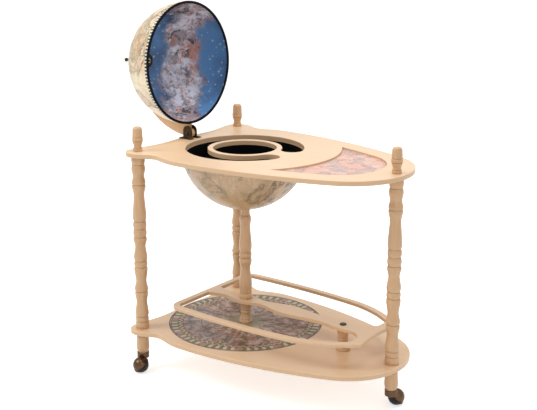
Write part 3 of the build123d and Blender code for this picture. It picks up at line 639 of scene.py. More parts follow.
@dataclass(frozen=True)
class GlobeChart(Finish):
    """Old-map print on a half globe, drawn about the globe's own pole."""

    name: str
    pole_frame: Matrix
    paper: Colour = (0.66, 0.475, 0.30)
    sea: Colour = (0.56, 0.385, 0.225)
    pole_tint: Colour = (0.50, 0.29, 0.105)
    blush: Colour = (0.66, 0.42, 0.31)
    land_low: Colour = (0.60, 0.33, 0.14)
    land_high: Colour = (0.21, 0.215, 0.135)
    ink: Colour = (0.085, 0.05, 0.03)
    meridians: int = 24
    meridian_width: float = 0.02
    teeth: bool = False
    tooth_count: int = 112
    tooth_gap: float = 0.46
    tooth_foot: float = 0.0030
    tooth_top: float = 0.0104
    tooth_light: Colour = (0.80, 0.74, 0.60)
    tooth_dark: Colour = (0.012, 0.011, 0.010)

    def dress(self, tree: Tree, shader: bpy.types.Node, spot: Socket) -> None:
        """Fill the shader's sockets with land, sea, meridians and age.

        Args:
            tree: The material's tree.
            shader: Its Principled shader.
            spot: Object coordinates.
        """
        local = tree.placed(spot, self.pole_frame)
        east, north, up = tree.separate(local)
        land = LAND.use(tree, Vector=local, Scale=8.5)
        pen = INKWORK.use(tree, Vector=local, Scale=23.0)
        age = AGEING.use(tree, Vector=local)
        turn = tree.math("ARCTAN2", north, east)
        length = tree.node("ShaderNodeVectorMath", {0: local}, operation="LENGTH").outputs["Value"]
        sine = tree.math("DIVIDE", up, length)
        rise = tree.math("ARCSINE", sine)
        cells = self.meridians / FULL_TURN
        lines = RULES.use(
            tree,
            Along=tree.math("MULTIPLY", turn, cells),
            Across=tree.math("MULTIPLY", rise, cells),
            Width=self.meridian_width,
        )["Lines"]
        colour = tree.blend(tree.step(age["Mottle"], 0.38, 0.62), self.sea, self.paper)
        wash = tree.noise(local, 5.5, 3.0, 0.5)
        colour = tree.lay(colour, self.blush, tree.step(wash, 0.48, 0.62), 0.55)
        near_pole = tree.step(tree.math("ABSOLUTE", sine), 0.45, 0.98)
        colour = tree.lay(colour, self.pole_tint, near_pole, 0.75)
        colour = tree.lay(colour, self.land_high, land["Shallows"], 0.4)
        ground = tree.blend(tree.step(land["Country"], 0.44, 0.54), self.land_low, self.land_high)
        ground = tree.blend(tree.step(land["Country"], 0.57, 0.6), ground, self.blush)
        ground = tree.lay(ground, self.paper, tree.step(age["Mottle"], 0.4, 0.65), 0.5)
        spread = tree.step(tree.noise(local, 7.0, 2.0, 0.5), 0.44, 0.56)
        colour = tree.lay(colour, ground, land["Land"], tree.math("MULTIPLY_ADD", spread, 0.46, 0.40))
        colour = tree.lay(colour, self.ink, land["Hills"], 0.5)
        colour = tree.lay(colour, self.pole_tint, age["Stain"], 0.4)
        colour = tree.lay(colour, self.ink, pen["Hatch"], 0.3)
        colour = tree.lay(colour, self.ink, pen["Figures"], 0.8)
        colour = tree.lay(colour, self.ink, age["Specks"], 0.35)
        colour = tree.lay(colour, self.ink, lines, 0.3)
        inked = tree.math("MULTIPLY_ADD", spread, 0.34, 0.42)
        colour = tree.lay(colour, self.ink, land["Coast"], inked)
        if self.teeth:
            colour = self.rim_teeth(tree, colour, turn, up)
        tree.feed(shader.inputs["Base Color"], colour)
        self.roughen(tree, shader, age["Mottle"], 0.15, 0.34)
        shader.inputs["Coat Weight"].default_value = 0.2
        shader.inputs["Coat Roughness"].default_value = 0.3
        self.bump(tree, shader, age["Height"], 0.08, 0.0002)

    def rim_teeth(self, tree: Tree, colour: Socket, turn: Socket, up: Socket) -> Socket:
        """Lay the black and cream tooth band along the rim.

        Args:
            tree: The material's tree.
            colour: Colour below the band.
            turn: Angle round the pole.
            up: Height above the rim's plane.

        Returns:
            The colour with the band.
        """
        share = tree.math("FRACT", tree.math("MULTIPLY", turn, self.tooth_count / FULL_TURN))
        square = tree.math("GREATER_THAN", share, self.tooth_gap)
        band = tree.between(up, self.tooth_foot, self.tooth_top, 0.0002)
        pattern = tree.blend(square, self.tooth_light, self.tooth_dark)
        return tree.blend(band, colour, pattern)


@dataclass(frozen=True)
class NightLining(Finish):
    """Blue night-sky paper with star dust and a broad pale star cloud across it."""

    name: str
    pole_frame: Matrix
    deep: Colour = (0.045, 0.075, 0.160)
    bright: Colour = (0.125, 0.300, 0.600)
    cloud_low: Colour = (0.235, 0.195, 0.225)
    cloud_high: Colour = (0.93, 0.90, 1.0)
    blush: Colour = (0.66, 0.43, 0.42)
    ember: Colour = (0.66, 0.21, 0.10)
    shade: Colour = (0.075, 0.042, 0.040)
    star: Colour = (0.72, 0.84, 1.0)
    haze: Colour = (0.14, 0.30, 0.50)
    murk: Colour = (0.20, 0.145, 0.150)
    turned: float = 48.0
    middle: float = -0.008
    lean: float = -0.16
    sway: float = 0.16
    belt_edge: float = 0.112
    belt_core: float = 0.010

    def stars(self, tree: Tree, spot: Socket, scale: float, size: float) -> Socket:
        """Mask of scattered round stars.

        Args:
            tree: The material's tree.
            spot: Point in the lid's frame.
            scale: How close the stars stand.
            size: Size of the largest star, as a share of its cell.

        Returns:
            The mask.
        """
        cell = tree.node("ShaderNodeTexVoronoi", {"Vector": spot, "Scale": scale}, feature="F1")
        pick = tree.separate(cell.outputs["Color"])[0]
        reach = tree.math("MULTIPLY", tree.math("POWER", pick, 3.0), size)
        ratio = tree.math("DIVIDE", cell.outputs["Distance"], tree.math("ADD", reach, 0.0001))
        return tree.step(ratio, 1.0, 0.2)

    def belt(self, tree: Tree, local: Socket) -> Socket:
        """Mask of the broad slanted belt in which the star cloud lies.

        Args:
            tree: The material's tree.
            local: Point in the lid's frame.

        Returns:
            The mask.
        """
        along, across, depth = tree.separate(local)
        waver = tree.math("SUBTRACT", tree.noise(local, 6.0, 3.0, 0.55), 0.5)
        angle = math.radians(self.turned)
        level = tree.math("MULTIPLY", across, math.cos(angle))
        side = tree.math("MULTIPLY_ADD", depth, -math.sin(angle), level)
        away = tree.math("MULTIPLY_ADD", along, self.lean, tree.math("SUBTRACT", side, self.middle))
        away = tree.math("MULTIPLY_ADD", waver, self.sway, away)
        return tree.step(tree.math("ABSOLUTE", away), self.belt_edge, self.belt_core)

    def dress(self, tree: Tree, shader: bpy.types.Node, spot: Socket) -> None:
        """Fill the shader's sockets with sky, star cloud and stars.

        Args:
            tree: The material's tree.
            shader: Its Principled shader.
            spot: Object coordinates.
        """
        local = tree.placed(spot, self.pole_frame)
        age = AGEING.use(tree, Vector=local)
        belt = self.belt(tree, local)
        puff = tree.noise(local, 15.0, 10.0, 0.7, 0.9)
        cloud = tree.step(tree.math("MULTIPLY_ADD", belt, 0.62, puff), 0.70, 1.0)
        wisp = tree.noise(local, 46.0, 8.0, 0.7, 0.9)
        sky = tree.blend(tree.step(tree.noise(local, 5.0, 4.0, 0.55), 0.38, 0.6), self.deep, self.bright)
        sky = tree.lay(sky, self.haze, tree.step(age["Mottle"], 0.45, 0.7), 0.35)
        core = tree.step(tree.math("MULTIPLY_ADD", belt, 0.30, wisp), 0.50, 0.80)
        vapour = tree.blend(core, self.cloud_low, self.cloud_high)
        warm = tree.step(tree.noise(local, 11.0, 4.0, 0.55), 0.48, 0.62)
        vapour = tree.lay(vapour, self.blush, warm, 0.5)
        colour = tree.lay(sky, vapour, cloud, 0.95)
        swirl = tree.noise(tree.stretched(local, (1.0, 1.5, 1.0)), 16.0, 9.0, 0.72, 0.7)
        murk = tree.noise(tree.stretched(local, (1.3, 1.0, 1.0)), 9.0, 6.0, 0.66, 1.0)
        murk = tree.math("MULTIPLY", tree.step(murk, 0.50, 0.60), cloud)
        colour = tree.lay(colour, self.murk, murk, 0.62)
        ember = tree.math("MULTIPLY", tree.step(swirl, 0.51, 0.58), cloud)
        glow = tree.math("MULTIPLY_ADD", tree.step(wisp, 0.62, 0.46), 0.66, 0.14)
        colour = tree.lay(colour, self.ember, ember, glow)
        dusk = tree.noise(local, 44.0, 7.0, 0.74, 0.8)
        deep = tree.math("MULTIPLY_ADD", murk, 0.5, cloud)
        dusk = tree.math("MULTIPLY", tree.step(dusk, 0.51, 0.57), deep)
        colour = tree.lay(colour, self.shade, dusk, 0.60)
        small = self.stars(tree, local, 118.0, 0.60)
        large = self.stars(tree, local, 40.0, 0.22)
        stars = tree.math("MAXIMUM", tree.math("MULTIPLY", small, 0.62), large)
        stars = tree.math("MULTIPLY", stars, tree.math("MULTIPLY_ADD", cloud, -0.7, 1.0))
        colour = tree.blend(stars, colour, self.star)
        tree.feed(shader.inputs["Base Color"], colour)
        self.roughen(tree, shader, age["Mottle"], 0.12, 0.42)
        shader.inputs["Specular IOR Level"].default_value = 0.4
        self.bump(tree, shader, age["Height"], 0.06, 0.0002)


@dataclass(frozen=True)
class FlatChart(Finish):
    """Pink-toned old map let into the tabletop."""

    name: str
    paper: Colour = (0.760, 0.415, 0.310)
    pale: Colour = (0.800, 0.560, 0.450)
    shadow: Colour = (0.400, 0.320, 0.350)
    ink: Colour = (0.250, 0.120, 0.125)
    cells: float = 24.0
    cell_rule: float = 0.024
    rays: int = 16
    ray_rule: float = 0.03

    def dress(self, tree: Tree, shader: bpy.types.Node, spot: Socket) -> None:
        """Fill the shader's sockets with land, rules, rays and age.

        Args:
            tree: The material's tree.
            shader: Its Principled shader.
            spot: Object coordinates.
        """
        local = tree.placed(spot, Matrix.Translation(node_middle("table_print")))
        east, north, _ = tree.separate(local)
        land = LAND.use(tree, Vector=local, Scale=22.0)
        pen = INKWORK.use(tree, Vector=local, Scale=42.0)
        age = AGEING.use(tree, Vector=local)
        rules = RULES.use(
            tree,
            Along=tree.math("MULTIPLY", east, self.cells),
            Across=tree.math("MULTIPLY", north, self.cells),
            Width=self.cell_rule,
        )["Lines"]
        turn = tree.math("MULTIPLY", tree.math("ARCTAN2", north, east), self.rays / FULL_TURN)
        rays = RULES.use(tree, Along=turn, Across=0.5, Width=self.ray_rule)["Lines"]
        cloud = tree.noise(local, 17.0, 4.0, 0.6, 0.5)
        colour = tree.blend(tree.step(cloud, 0.42, 0.6), self.paper, self.pale)
        colour = tree.lay(colour, self.pale, age["Mottle"], 0.3)
        colour = tree.lay(colour, self.shadow, land["Land"], 0.42)
        colour = tree.lay(colour, self.ink, land["Hills"], 0.4)
        colour = tree.lay(colour, self.shadow, age["Stain"], 0.3)
        colour = tree.lay(colour, self.ink, land["Coast"], 0.55)
        colour = tree.lay(colour, self.ink, pen["Figures"], 0.62)
        colour = tree.lay(colour, self.ink, pen["Hatch"], 0.22)
        colour = tree.lay(colour, self.ink, rules, 0.25)
        colour = tree.lay(colour, self.ink, rays, 0.22)
        colour = tree.lay(colour, self.ink, age["Specks"], 0.3)
        tree.feed(shader.inputs["Base Color"], colour)
        self.roughen(tree, shader, age["Mottle"], 0.15, 0.38)
        shader.inputs["Coat Weight"].default_value = 0.2
        self.bump(tree, shader, age["Height"], 0.06, 0.0002)


@dataclass(frozen=True)
class DialPrint(Finish):
    """Round dial on the shelf: clouded field with rays inside two ruled borders."""

    name: str
    field: Colour = (0.285, 0.220, 0.235)
    rose: Colour = (0.400, 0.215, 0.150)
    earth: Colour = (0.290, 0.115, 0.045)
    leaf: Colour = (0.115, 0.130, 0.035)
    ivory: Colour = (0.700, 0.560, 0.400)
    moss: Colour = (0.130, 0.145, 0.035)
    ink: Colour = (0.035, 0.025, 0.022)
    smoke: Colour = (0.68, 0.56, 0.50)
    soot: Colour = (0.075, 0.05, 0.055)
    rim: Colour = (0.045, 0.035, 0.03)
    ray_count: float = 18.0
    petal_count: float = 8.0
    petal_length: float = 0.09
    petal_root: float = 0.03
    star_edge: float = 0.08
    star_fade: float = 0.085
    heart_edge: float = 0.048
    heart_fade: float = 0.052
    saw_foot: float = 0.168
    saw_height: float = 0.012
    saw_count: float = 64.0
    band_foot: float = 0.1812
    band_top: float = 0.1975
    band_count: float = 60.0
    patch_count: float = 12.0
    rings: tuple[float, ...] = (0.118, 0.1674, 0.1806, 0.1982)
    ring_half: float = 0.0007
    rim_foot: float = 0.2010
    rim_top: float = 0.2018

    def dress(self, tree: Tree, shader: bpy.types.Node, spot: Socket) -> None:
        """Fill the shader's sockets with rays, segments, points and age.

        Args:
            tree: The material's tree.
            shader: Its Principled shader.
            spot: Object coordinates.
        """
        local = tree.placed(spot, Matrix.Translation((PLACE.axis_x, 0.0, PLACE.shelf_top)))
        east, north, _ = tree.separate(local)
        age = AGEING.use(tree, Vector=local)
        pen = INKWORK.use(tree, Vector=local, Scale=30.0)
        turn = tree.math("MULTIPLY", tree.math("ARCTAN2", north, east), 1 / FULL_TURN)
        reach = tree.node("ShaderNodeVectorMath", {0: local}, operation="LENGTH").outputs["Value"]
        colour = self.field_colour(tree, local, east, turn)
        colour = tree.lay(colour, self.ink, pen["Figures"], 0.55)
        colour = tree.lay(colour, self.ink, pen["Hatch"], 0.35)
        colour = self.star(tree, colour, turn, reach)
        colour = self.border(tree, colour, turn, reach, age["Mottle"])
        colour = tree.lay(colour, self.ink, age["Specks"], 0.4)
        tree.feed(shader.inputs["Base Color"], colour)
        self.roughen(tree, shader, age["Mottle"], 0.15, 0.32)
        shader.inputs["Specular IOR Level"].default_value = 0.32
        self.bump(tree, shader, age["Height"], 0.06, 0.0002)

    def field_colour(self, tree: Tree, local: Socket, east: Socket, turn: Socket) -> Socket:
        """Colour of the field inside the borders.

        Args:
            tree: The material's tree.
            local: Point in the dial's frame.
            east: Its first number.
            turn: Share of a full turn about the middle.

        Returns:
            The colour.
        """
        wave = tree.math("SUBTRACT", tree.noise(local, 14.0, 5.0, 0.6), 0.5)
        wavy = tree.math("MULTIPLY_ADD", wave, 0.04, turn)
        rays = tree.math("FRACT", tree.math("MULTIPLY", wavy, self.ray_count))
        tint = tree.noise(local, 11.0, 5.0, 0.62, 0.8)
        colour = tree.blend(tree.step(tint, 0.42, 0.58), self.field, self.rose)
        warm = tree.step(tree.math("MULTIPLY_ADD", wave, 0.3, east), -0.04, 0.12)
        colour = tree.lay(colour, self.earth, warm, 0.82)
        green = tree.between(rays, 0.12, 0.34, 0.03)
        colour = tree.lay(colour, self.leaf, green, 0.6)
        pale = tree.between(rays, 0.55, 0.72, 0.03)
        colour = tree.lay(colour, self.ivory, pale, 0.35)
        smoke = tree.noise(local, 36.0, 8.0, 0.72, 1.0)
        colour = tree.lay(colour, self.smoke, tree.step(smoke, 0.50, 0.60), 0.62)
        return tree.lay(colour, self.soot, tree.step(smoke, 0.49, 0.39), 0.72)

    def star(self, tree: Tree, colour: Socket, turn: Socket, reach: Socket) -> Socket:
        """Lay the pale star and its green heart in the middle of the dial.

        Args:
            tree: The material's tree.
            colour: Colour below the star.
            turn: Share of a full turn about the middle.
            reach: Distance from the middle.

        Returns:
            The colour with the star.
        """
        petal = tree.math("FRACT", tree.math("MULTIPLY", turn, self.petal_count))
        petals = tree.math("ABSOLUTE", tree.math("SUBTRACT", petal, 0.5))
        spread = tree.math("MULTIPLY", tree.math("SUBTRACT", 0.5, petals), self.petal_length)
        mask = tree.math("GREATER_THAN", spread, tree.math("SUBTRACT", reach, self.petal_root))
        mask = tree.math("MULTIPLY", mask, tree.step(reach, self.star_fade, self.star_edge))
        colour = tree.lay(colour, self.ivory, mask, 0.5)
        heart = tree.step(reach, self.heart_fade, self.heart_edge)
        return tree.lay(colour, self.moss, heart, 0.45)

    def border(self, tree: Tree, colour: Socket, turn: Socket, reach: Socket, mottle: Socket) -> Socket:
        """Lay the saw-tooth ring, the segment ring and the ruled circles.

        Args:
            tree: The material's tree.
            colour: Colour below the borders.
            turn: Share of a full turn about the middle.
            reach: Distance from the middle.
            mottle: Mottle of the paper.

        Returns:
            The colour with the borders.
        """
        saw = tree.math("SUBTRACT", tree.math("FRACT", tree.math("MULTIPLY", turn, self.saw_count)), 0.5)
        height = tree.math("DIVIDE", tree.math("SUBTRACT", reach, self.saw_foot), self.saw_height)
        points = tree.math("SUBTRACT", tree.math("MULTIPLY", tree.math("ABSOLUTE", saw), 2.0), height)
        zigzag = tree.step(tree.math("ABSOLUTE", points), 0.22, 0.12)
        inner = tree.between(reach, self.saw_foot, self.saw_foot + self.saw_height, 0.0003)
        sides = tree.blend(tree.math("GREATER_THAN", points, 0.0), self.moss, self.earth)
        sides = tree.blend(zigzag, sides, self.ivory)
        colour = tree.lay(colour, sides, inner, 0.92)
        share = tree.math("FRACT", tree.math("MULTIPLY", turn, self.band_count))
        block = tree.math("GREATER_THAN", share, 0.55)
        twelfth = tree.math("FRACT", tree.math("MULTIPLY", turn, self.patch_count))
        patch = tree.math("LESS_THAN", twelfth, 0.22)
        pieces = tree.blend(block, self.moss, self.ivory)
        pieces = tree.blend(patch, pieces, self.rose)
        pieces = tree.lay(pieces, self.field, mottle, 0.35)
        outer = tree.between(reach, self.band_foot, self.band_top, 0.0003)
        colour = tree.lay(colour, pieces, outer, 0.94)
        for ring in self.rings:
            line = tree.between(reach, ring - self.ring_half, ring + self.ring_half, 0.0002)
            colour = tree.blend(line, colour, self.ink)
        return tree.blend(tree.step(reach, self.rim_foot, self.rim_top), colour, self.rim)


@dataclass(frozen=True)
class HardFinish(Finish):
    """Plastic or metal with smears, scuffs and rubbed edges."""

    name: str
    base: Colour
    worn: Colour
    metallic: float
    rough: float
    spread: float = 0.12
    wear: float = 0.6
    stain: float = 0.35
    gloss: float = 0.5

    def dress(self, tree: Tree, shader: bpy.types.Node, spot: Socket) -> None:
        """Fill the shader's sockets with handling marks.

        Args:
            tree: The material's tree.
            shader: Its Principled shader.
            spot: Object coordinates.
        """
        marks = HANDLING.use(tree, Vector=spot)
        colour = tree.blend(tree.math("MULTIPLY", marks["Smear"], self.stain), self.base, self.worn)
        colour = tree.blend(tree.math("MULTIPLY", marks["Edge"], self.wear), colour, self.worn)
        tree.feed(shader.inputs["Base Color"], colour)
        rough = tree.math("MULTIPLY_ADD", marks["Smear"], self.spread, self.rough)
        rough = tree.math("MULTIPLY_ADD", marks["Scuffs"], 0.12, rough)
        tree.feed(shader.inputs["Roughness"], rough)
        shader.inputs["Metallic"].default_value = self.metallic
        shader.inputs["Specular IOR Level"].default_value = self.gloss
        self.bump(tree, shader, marks["Smear"], 0.08, 0.0003)


# The listed boards get painted shade on their side faces.
BOARD_WOOD = LacqueredWood(
    "lacquered_board_wood", Grain.LENGTH, boards=("table_top", "shelf_board", "bottle_rail")
)
# Turned wood: upright grain, so it gets painted shade in its grooves and painted highlights on its beads.
TURNED_WOOD = LacqueredWood(
    "lacquered_turned_wood", Grain.UPRIGHT, light=(0.680, 0.430, 0.235), dark=(0.540, 0.315, 0.155)
)
ARM_WOOD = LacqueredWood(
    "lacquered_arm_wood", Grain.CURVED, light=(0.720, 0.450, 0.235), dark=(0.610, 0.350, 0.160)
)
BOWL_CHART = GlobeChart("bowl_old_chart", PLACE.bowl_frame())
LID_CHART = GlobeChart(
    "lid_old_chart",
    PLACE.lid_frame(),
    paper=(0.93, 0.80, 0.58),
    sea=(0.86, 0.70, 0.46),
    pole_tint=(0.80, 0.62, 0.37),
    blush=(0.86, 0.60, 0.40),
    teeth=True,
)
LINING = NightLining("lid_night_lining", PLACE.lid_frame())
CHART = FlatChart("table_chart_print")
DIAL = DialPrint("shelf_dial_print")
BLACK_PLASTIC = HardFinish(
    "black_satin_plastic", (0.0035, 0.0035, 0.004), (0.012, 0.012, 0.013), 0.0, 0.45, wear=0.3, gloss=0.06
)
BRONZE = HardFinish(
    "dark_antique_bronze", (0.030, 0.019, 0.010), (0.27, 0.165, 0.08), 1.0, 0.27, wear=0.7, stain=0.14
)
CASTOR_BRONZE = HardFinish(
    "rubbed_castor_bronze", (0.060, 0.036, 0.021), (0.42, 0.25, 0.14), 1.0, 0.2, wear=0.9, stain=0.25
)
STEEL = HardFinish("zinc_steel", (0.55, 0.55, 0.54), (0.72, 0.72, 0.70), 1.0, 0.28)
WHEEL = HardFinish(
    "black_wheel_nylon", (0.006, 0.006, 0.006), (0.028, 0.026, 0.024), 0.0, 0.3, wear=0.5, gloss=0.25
)


# --------------------------------------------------------------------------
# mesh helpers
# --------------------------------------------------------------------------


def added(name: str, data: bpy.types.ID) -> bpy.types.Object:
    """Put new data into the scene as an object.

    Args:
        name: Name of the object.
        data: Its mesh, camera or lamp.

    Returns:
        The new object.
    """
    thing = bpy.data.objects.new(name, data)
    bpy.context.scene.collection.objects.link(thing)
    return thing


def finished(
    name: str,
    mesh: Shape,
    finish: Finish,
    body: str,
    nodes: Sequence[str] = (),
    crease: float = 35.0,
) -> bpy.types.Object:
    """Turn a bmesh into a piece that rides on a body.

    Args:
        name: Piece name.
        mesh: Its shape, in the bar's frame.
        finish: Its finish.
        body: Body that it rides on.
        nodes: Solid nodes that it stands for.
        crease: Angle in degrees above which an edge stays sharp.

    Returns:
        The new object.
    """
    data = bpy.data.meshes.new(name)
    bmesh.ops.recalc_face_normals(mesh, faces=mesh.faces)
    mesh.to_mesh(data)
    mesh.free()
    data.shade_smooth()
    data.set_sharp_from_angle(angle=math.radians(crease))
    data.materials.append(finish.material())
    piece = added(name, data)
    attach(piece, body)
    if nodes:
        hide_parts(*nodes)
    log.info("%s: %d faces on %s", name, len(data.polygons), body)
    return piece


def dress_node(node: str, finish: Finish) -> None:
    """Give a solid node its finish.

    Args:
        node: Name of the node.
        finish: Finish that it gets.
    """
    solid = frame["nodes"][node]
    solid.data.materials.clear()
    solid.data.materials.append(finish.material())
    log.info("%s: dressed in %s", node, finish.name)


def eased(before: float, start: float, end: float, after: float, share: float) -> float:
    """Number on the smooth curve between two of four guide numbers.

    Args:
        before: Number before the stretch.
        start: Number at its start.
        end: Number at its end.
        after: Number after it.
        share: Share of the stretch that is passed.

    Returns:
        The number there.
    """
    slope = end - before
    bend = 2 * before - 5 * start + 4 * end - after
    twist = 3 * start - before - 3 * end + after
    return 0.5 * (2 * start + slope * share + bend * share**2 + twist * share**3)


def smooth_run(points: Sequence[Point2], steps: int = 7) -> list[Point2]:
    """Smooth curve through points.

    Args:
        points: Points to pass through.
        steps: Points per stretch.

    Returns:
        Points of the curve, with both ends.
    """
    if len(points) < 3:
        return list(points)
    guide = [points[0], *points, points[-1]]
    curve = []
    for before, start, end, after in zip(guide, guide[1:], guide[2:], guide[3:]):
        for step in range(steps):
            guides = zip(before, start, end, after)
            curve.append(tuple(eased(*guide_row, step / steps) for guide_row in guides))
    return [*curve, points[-1]]


def spun(profile: Sequence[Point2], steps: int = 64, closed: bool = False) -> Shape:
    """Turn a profile of (radius, height) points about Z.

    Args:
        profile: Points from one end to the other.
        steps: Sides of the turning.
        closed: Whether the last point joins the first, as in a ring's section.

    Returns:
        The turned shape.
    """
    mesh = bmesh.new()
    verts = [mesh.verts.new((radius, 0.0, height)) for radius, height in profile]
    edges = [mesh.edges.new(pair) for pair in zip(verts, verts[1:])]
    if closed:
        edges.append(mesh.edges.new((verts[-1], verts[0])))
    bmesh.ops.spin(
        mesh,
        geom=[*verts, *edges],
        axis=(0, 0, 1),
        cent=(0, 0, 0),
        angle=FULL_TURN,
        steps=steps,
        use_merge=True,
    )
    bmesh.ops.remove_doubles(mesh, verts=mesh.verts, dist=MERGE)
    return mesh


def soften(mesh: Shape, width: float, segments: int = 2, angle: float = 40.0) -> None:
    """Round the sharp edges of a shape.

    Args:
        mesh: The shape.
        width: Greatest width of the rounding in metres.
        segments: Faces across the rounding.
        angle: Least angle in degrees of an edge that is rounded.
    """
    least = math.radians(angle)
    inner = [edge for edge in mesh.edges if len(edge.link_faces) == 2]
    bmesh.ops.bevel(
        mesh,
        geom=[edge for edge in inner if edge.calc_face_angle() > least],
        offset=width,
        segments=segments,
        profile=0.5,
        affect="EDGES",
        material=-1,
        clamp_overlap=True,
    )


def moved(mesh: Shape, matrix: Matrix) -> Shape:
    """Carry a shape to its place."""
    bmesh.ops.transform(mesh, matrix=matrix, verts=mesh.verts)
    return mesh


def copied(node: str) -> Shape:
    """Copy of a solid node's mesh with its loose triangles joined into whole faces.

    Args:
        node: Name of the node.

    Returns:
        The copy.
    """
    mesh = bmesh.new()
    mesh.from_mesh(frame["nodes"][node].data)
    bmesh.ops.remove_doubles(mesh, verts=mesh.verts, dist=MERGE)
    bmesh.ops.dissolve_limit(mesh, angle_limit=math.radians(1.0), verts=mesh.verts, edges=mesh.edges)
    return mesh


def gathered(shapes: Sequence[Shape]) -> Shape:
    """Join separate shapes into one mesh and free them.

    Args:
        shapes: The shapes.

    Returns:
        The mesh that holds them all.
    """
    whole = bmesh.new()
    for shape in shapes:
        data = bpy.data.meshes.new("part")
        shape.to_mesh(data)
        shape.free()
        whole.from_mesh(data)
        bpy.data.meshes.remove(data)
    return whole


# --------------------------------------------------------------------------
# turned wood
# --------------------------------------------------------------------------


@dataclass
class Turning:
    """A turned wooden piece that stands upright in its node's place.

    Its runs are the stretches between cut grooves. Each holds (height, radius) points in
    millimetres, which are fitted to the node's box.
    """

    node: str
    runs: Sequence[Sequence[Point2]]
    groove: float = 0.0009
    steps: int = 64
    crease: float = 28.0

    def profile(self) -> list[Point2]:
        """Outline with a cut groove between its runs.

        Points at or below the one before are left out. That drops those which a groove takes, and
        the very first, so the underside is a shallow cone.

        Returns:
            Points of (radius, height) in metres above the node's foot.
        """
        low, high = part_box(self.node)
        top = high.z - low.z
        wide = (high.x - low.x) / 2 / max(radius for run in self.runs for _, radius in run)
        tall = top / self.runs[-1][-1][0]
        outline: list[Point2] = [(0.0, 0.0)]
        for index, run in enumerate(self.runs):
            curve = smooth_run([(height * tall, radius * wide) for height, radius in run])
            if index:
                radius, height = outline.pop()
                outline.append((radius, height - self.groove))
                outline.append((radius - self.groove, height))
                outline.append((radius, height + self.groove))
            for height, radius in curve:
                if height > outline[-1][1]:
                    outline.append((radius, height))
        outline[-1] = (outline[-1][0], top)
        return [*outline, (0.0, top)]

    def build(self) -> bpy.types.Object:
        """Build the turning in its node's place.

        Returns:
            The piece.
        """
        middle = node_middle(self.node)
        mesh = spun(self.profile(), self.steps)
        bmesh.ops.translate(mesh, verts=mesh.verts, vec=(middle.x, middle.y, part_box(self.node)[0].z))
        name = f"turned_{self.node}"
        return finished(name, mesh, TURNED_WOOD, "stand", [self.node], self.crease)


@dataclass
class TurnedWork:
    """All turned wood: three legs with feet and finials, the post and the rail's spindles.

    Points are (height, radius) in millimetres.
    """

    leg: Sequence[Sequence[Point2]] = (
        ((0, 17.8), (9, 19.0), (19, 17.5)),
        ((19, 17.5), (26, 18.7), (33, 17.2)),
        ((33, 17.2), (44, 19.0), (73, 15.2), (94, 18.5), (102, 17.2)),
        ((102, 17.2), (110, 19.0), (131, 15.0), (161, 19.0), (169, 17.2)),
        ((169, 17.2), (178, 19.0), (186, 17.0)),
        ((186, 17.0), (198, 19.0), (225, 14.9), (243, 19.0), (251, 17.0)),
        ((251, 17.0), (262, 19.0), (273, 17.0)),
        ((273, 17.0), (283, 19.0), (293, 17.0)),
        ((293, 17.0), (310, 19.0), (361, 15.0), (384, 19.0), (391, 17.9)),
        ((391, 17.9), (398, 19.0), (413, 15.9), (431, 19.0), (444, 17.2)),
        ((444, 17.2), (455, 18.9), (467, 17.6)),
    )
    foot: Sequence[Sequence[Point2]] = (
        ((0, 13.6), (5, 15.6), (14, 17.0), (32, 15.6), (40, 15.4)),
        ((40, 15.4), (45, 16.2), (49, 15.8)),
    )
    finial: Sequence[Sequence[Point2]] = (
        ((0, 10.8), (4, 11.4), (8, 10.4)),
        ((8, 10.4), (13, 9.4), (22, 11.8), (26, 12.8)),
        ((26, 12.8), (31, 13.3), (36, 12.4)),
        ((36, 12.4), (48, 12.0), (57, 11.2), (61.5, 8.6), (63, 4.0)),
    )
    spindle: Sequence[Sequence[Point2]] = (
        ((0, 18.0), (4, 18.0), (9, 15.6)),
        ((9, 15.6), (18, 13.0), (25, 12.6)),
        ((25, 12.6), (29, 13.4), (33, 12.4)),
        ((33, 12.4), (46, 14.4), (57, 16.2)),
    )
    post: Sequence[Sequence[Point2]] = (
        ((0, 16.0), (8, 17.4), (16, 15.6)),
        ((16, 15.6), (46, 16.6), (84, 12.6), (104, 16.4), (114, 14.6)),
        ((114, 14.6), (122, 16.4), (130, 14.6)),
        ((130, 14.6), (150, 16.6), (196, 13.0), (222, 15.2), (232, 12.4)),
        ((232, 12.4), (240, 11.6), (252, 11.6)),
    )

    def build(self) -> None:
        """Build every turning."""
        for place in PLACES:
            for kind, runs in (("upper_leg", self.leg), ("foot", self.foot), ("finial", self.finial)):
                Turning(f"{kind}_{place}", runs).build()
        for node in ("rail_spindle", "post_lower"):
            Turning(node, self.spindle).build()
        Turning("post_upper", self.post).build()


# --------------------------------------------------------------------------
# boards, globe and fittings
# --------------------------------------------------------------------------


@dataclass
class Boards:
    """Tabletop, shelf, rail and the prints let into them."""

    wooden: Sequence[str] = ("table_top", "shelf_board", "bottle_rail")

    def dress(self) -> None:
        """Give the boards and prints their finishes."""
        for node in self.wooden:
            dress_node(node, BOARD_WOOD)
        dress_node("table_print", CHART)
        dress_node("shelf_print", DIAL)
        dress_node("locating_ring", BOARD_WOOD)


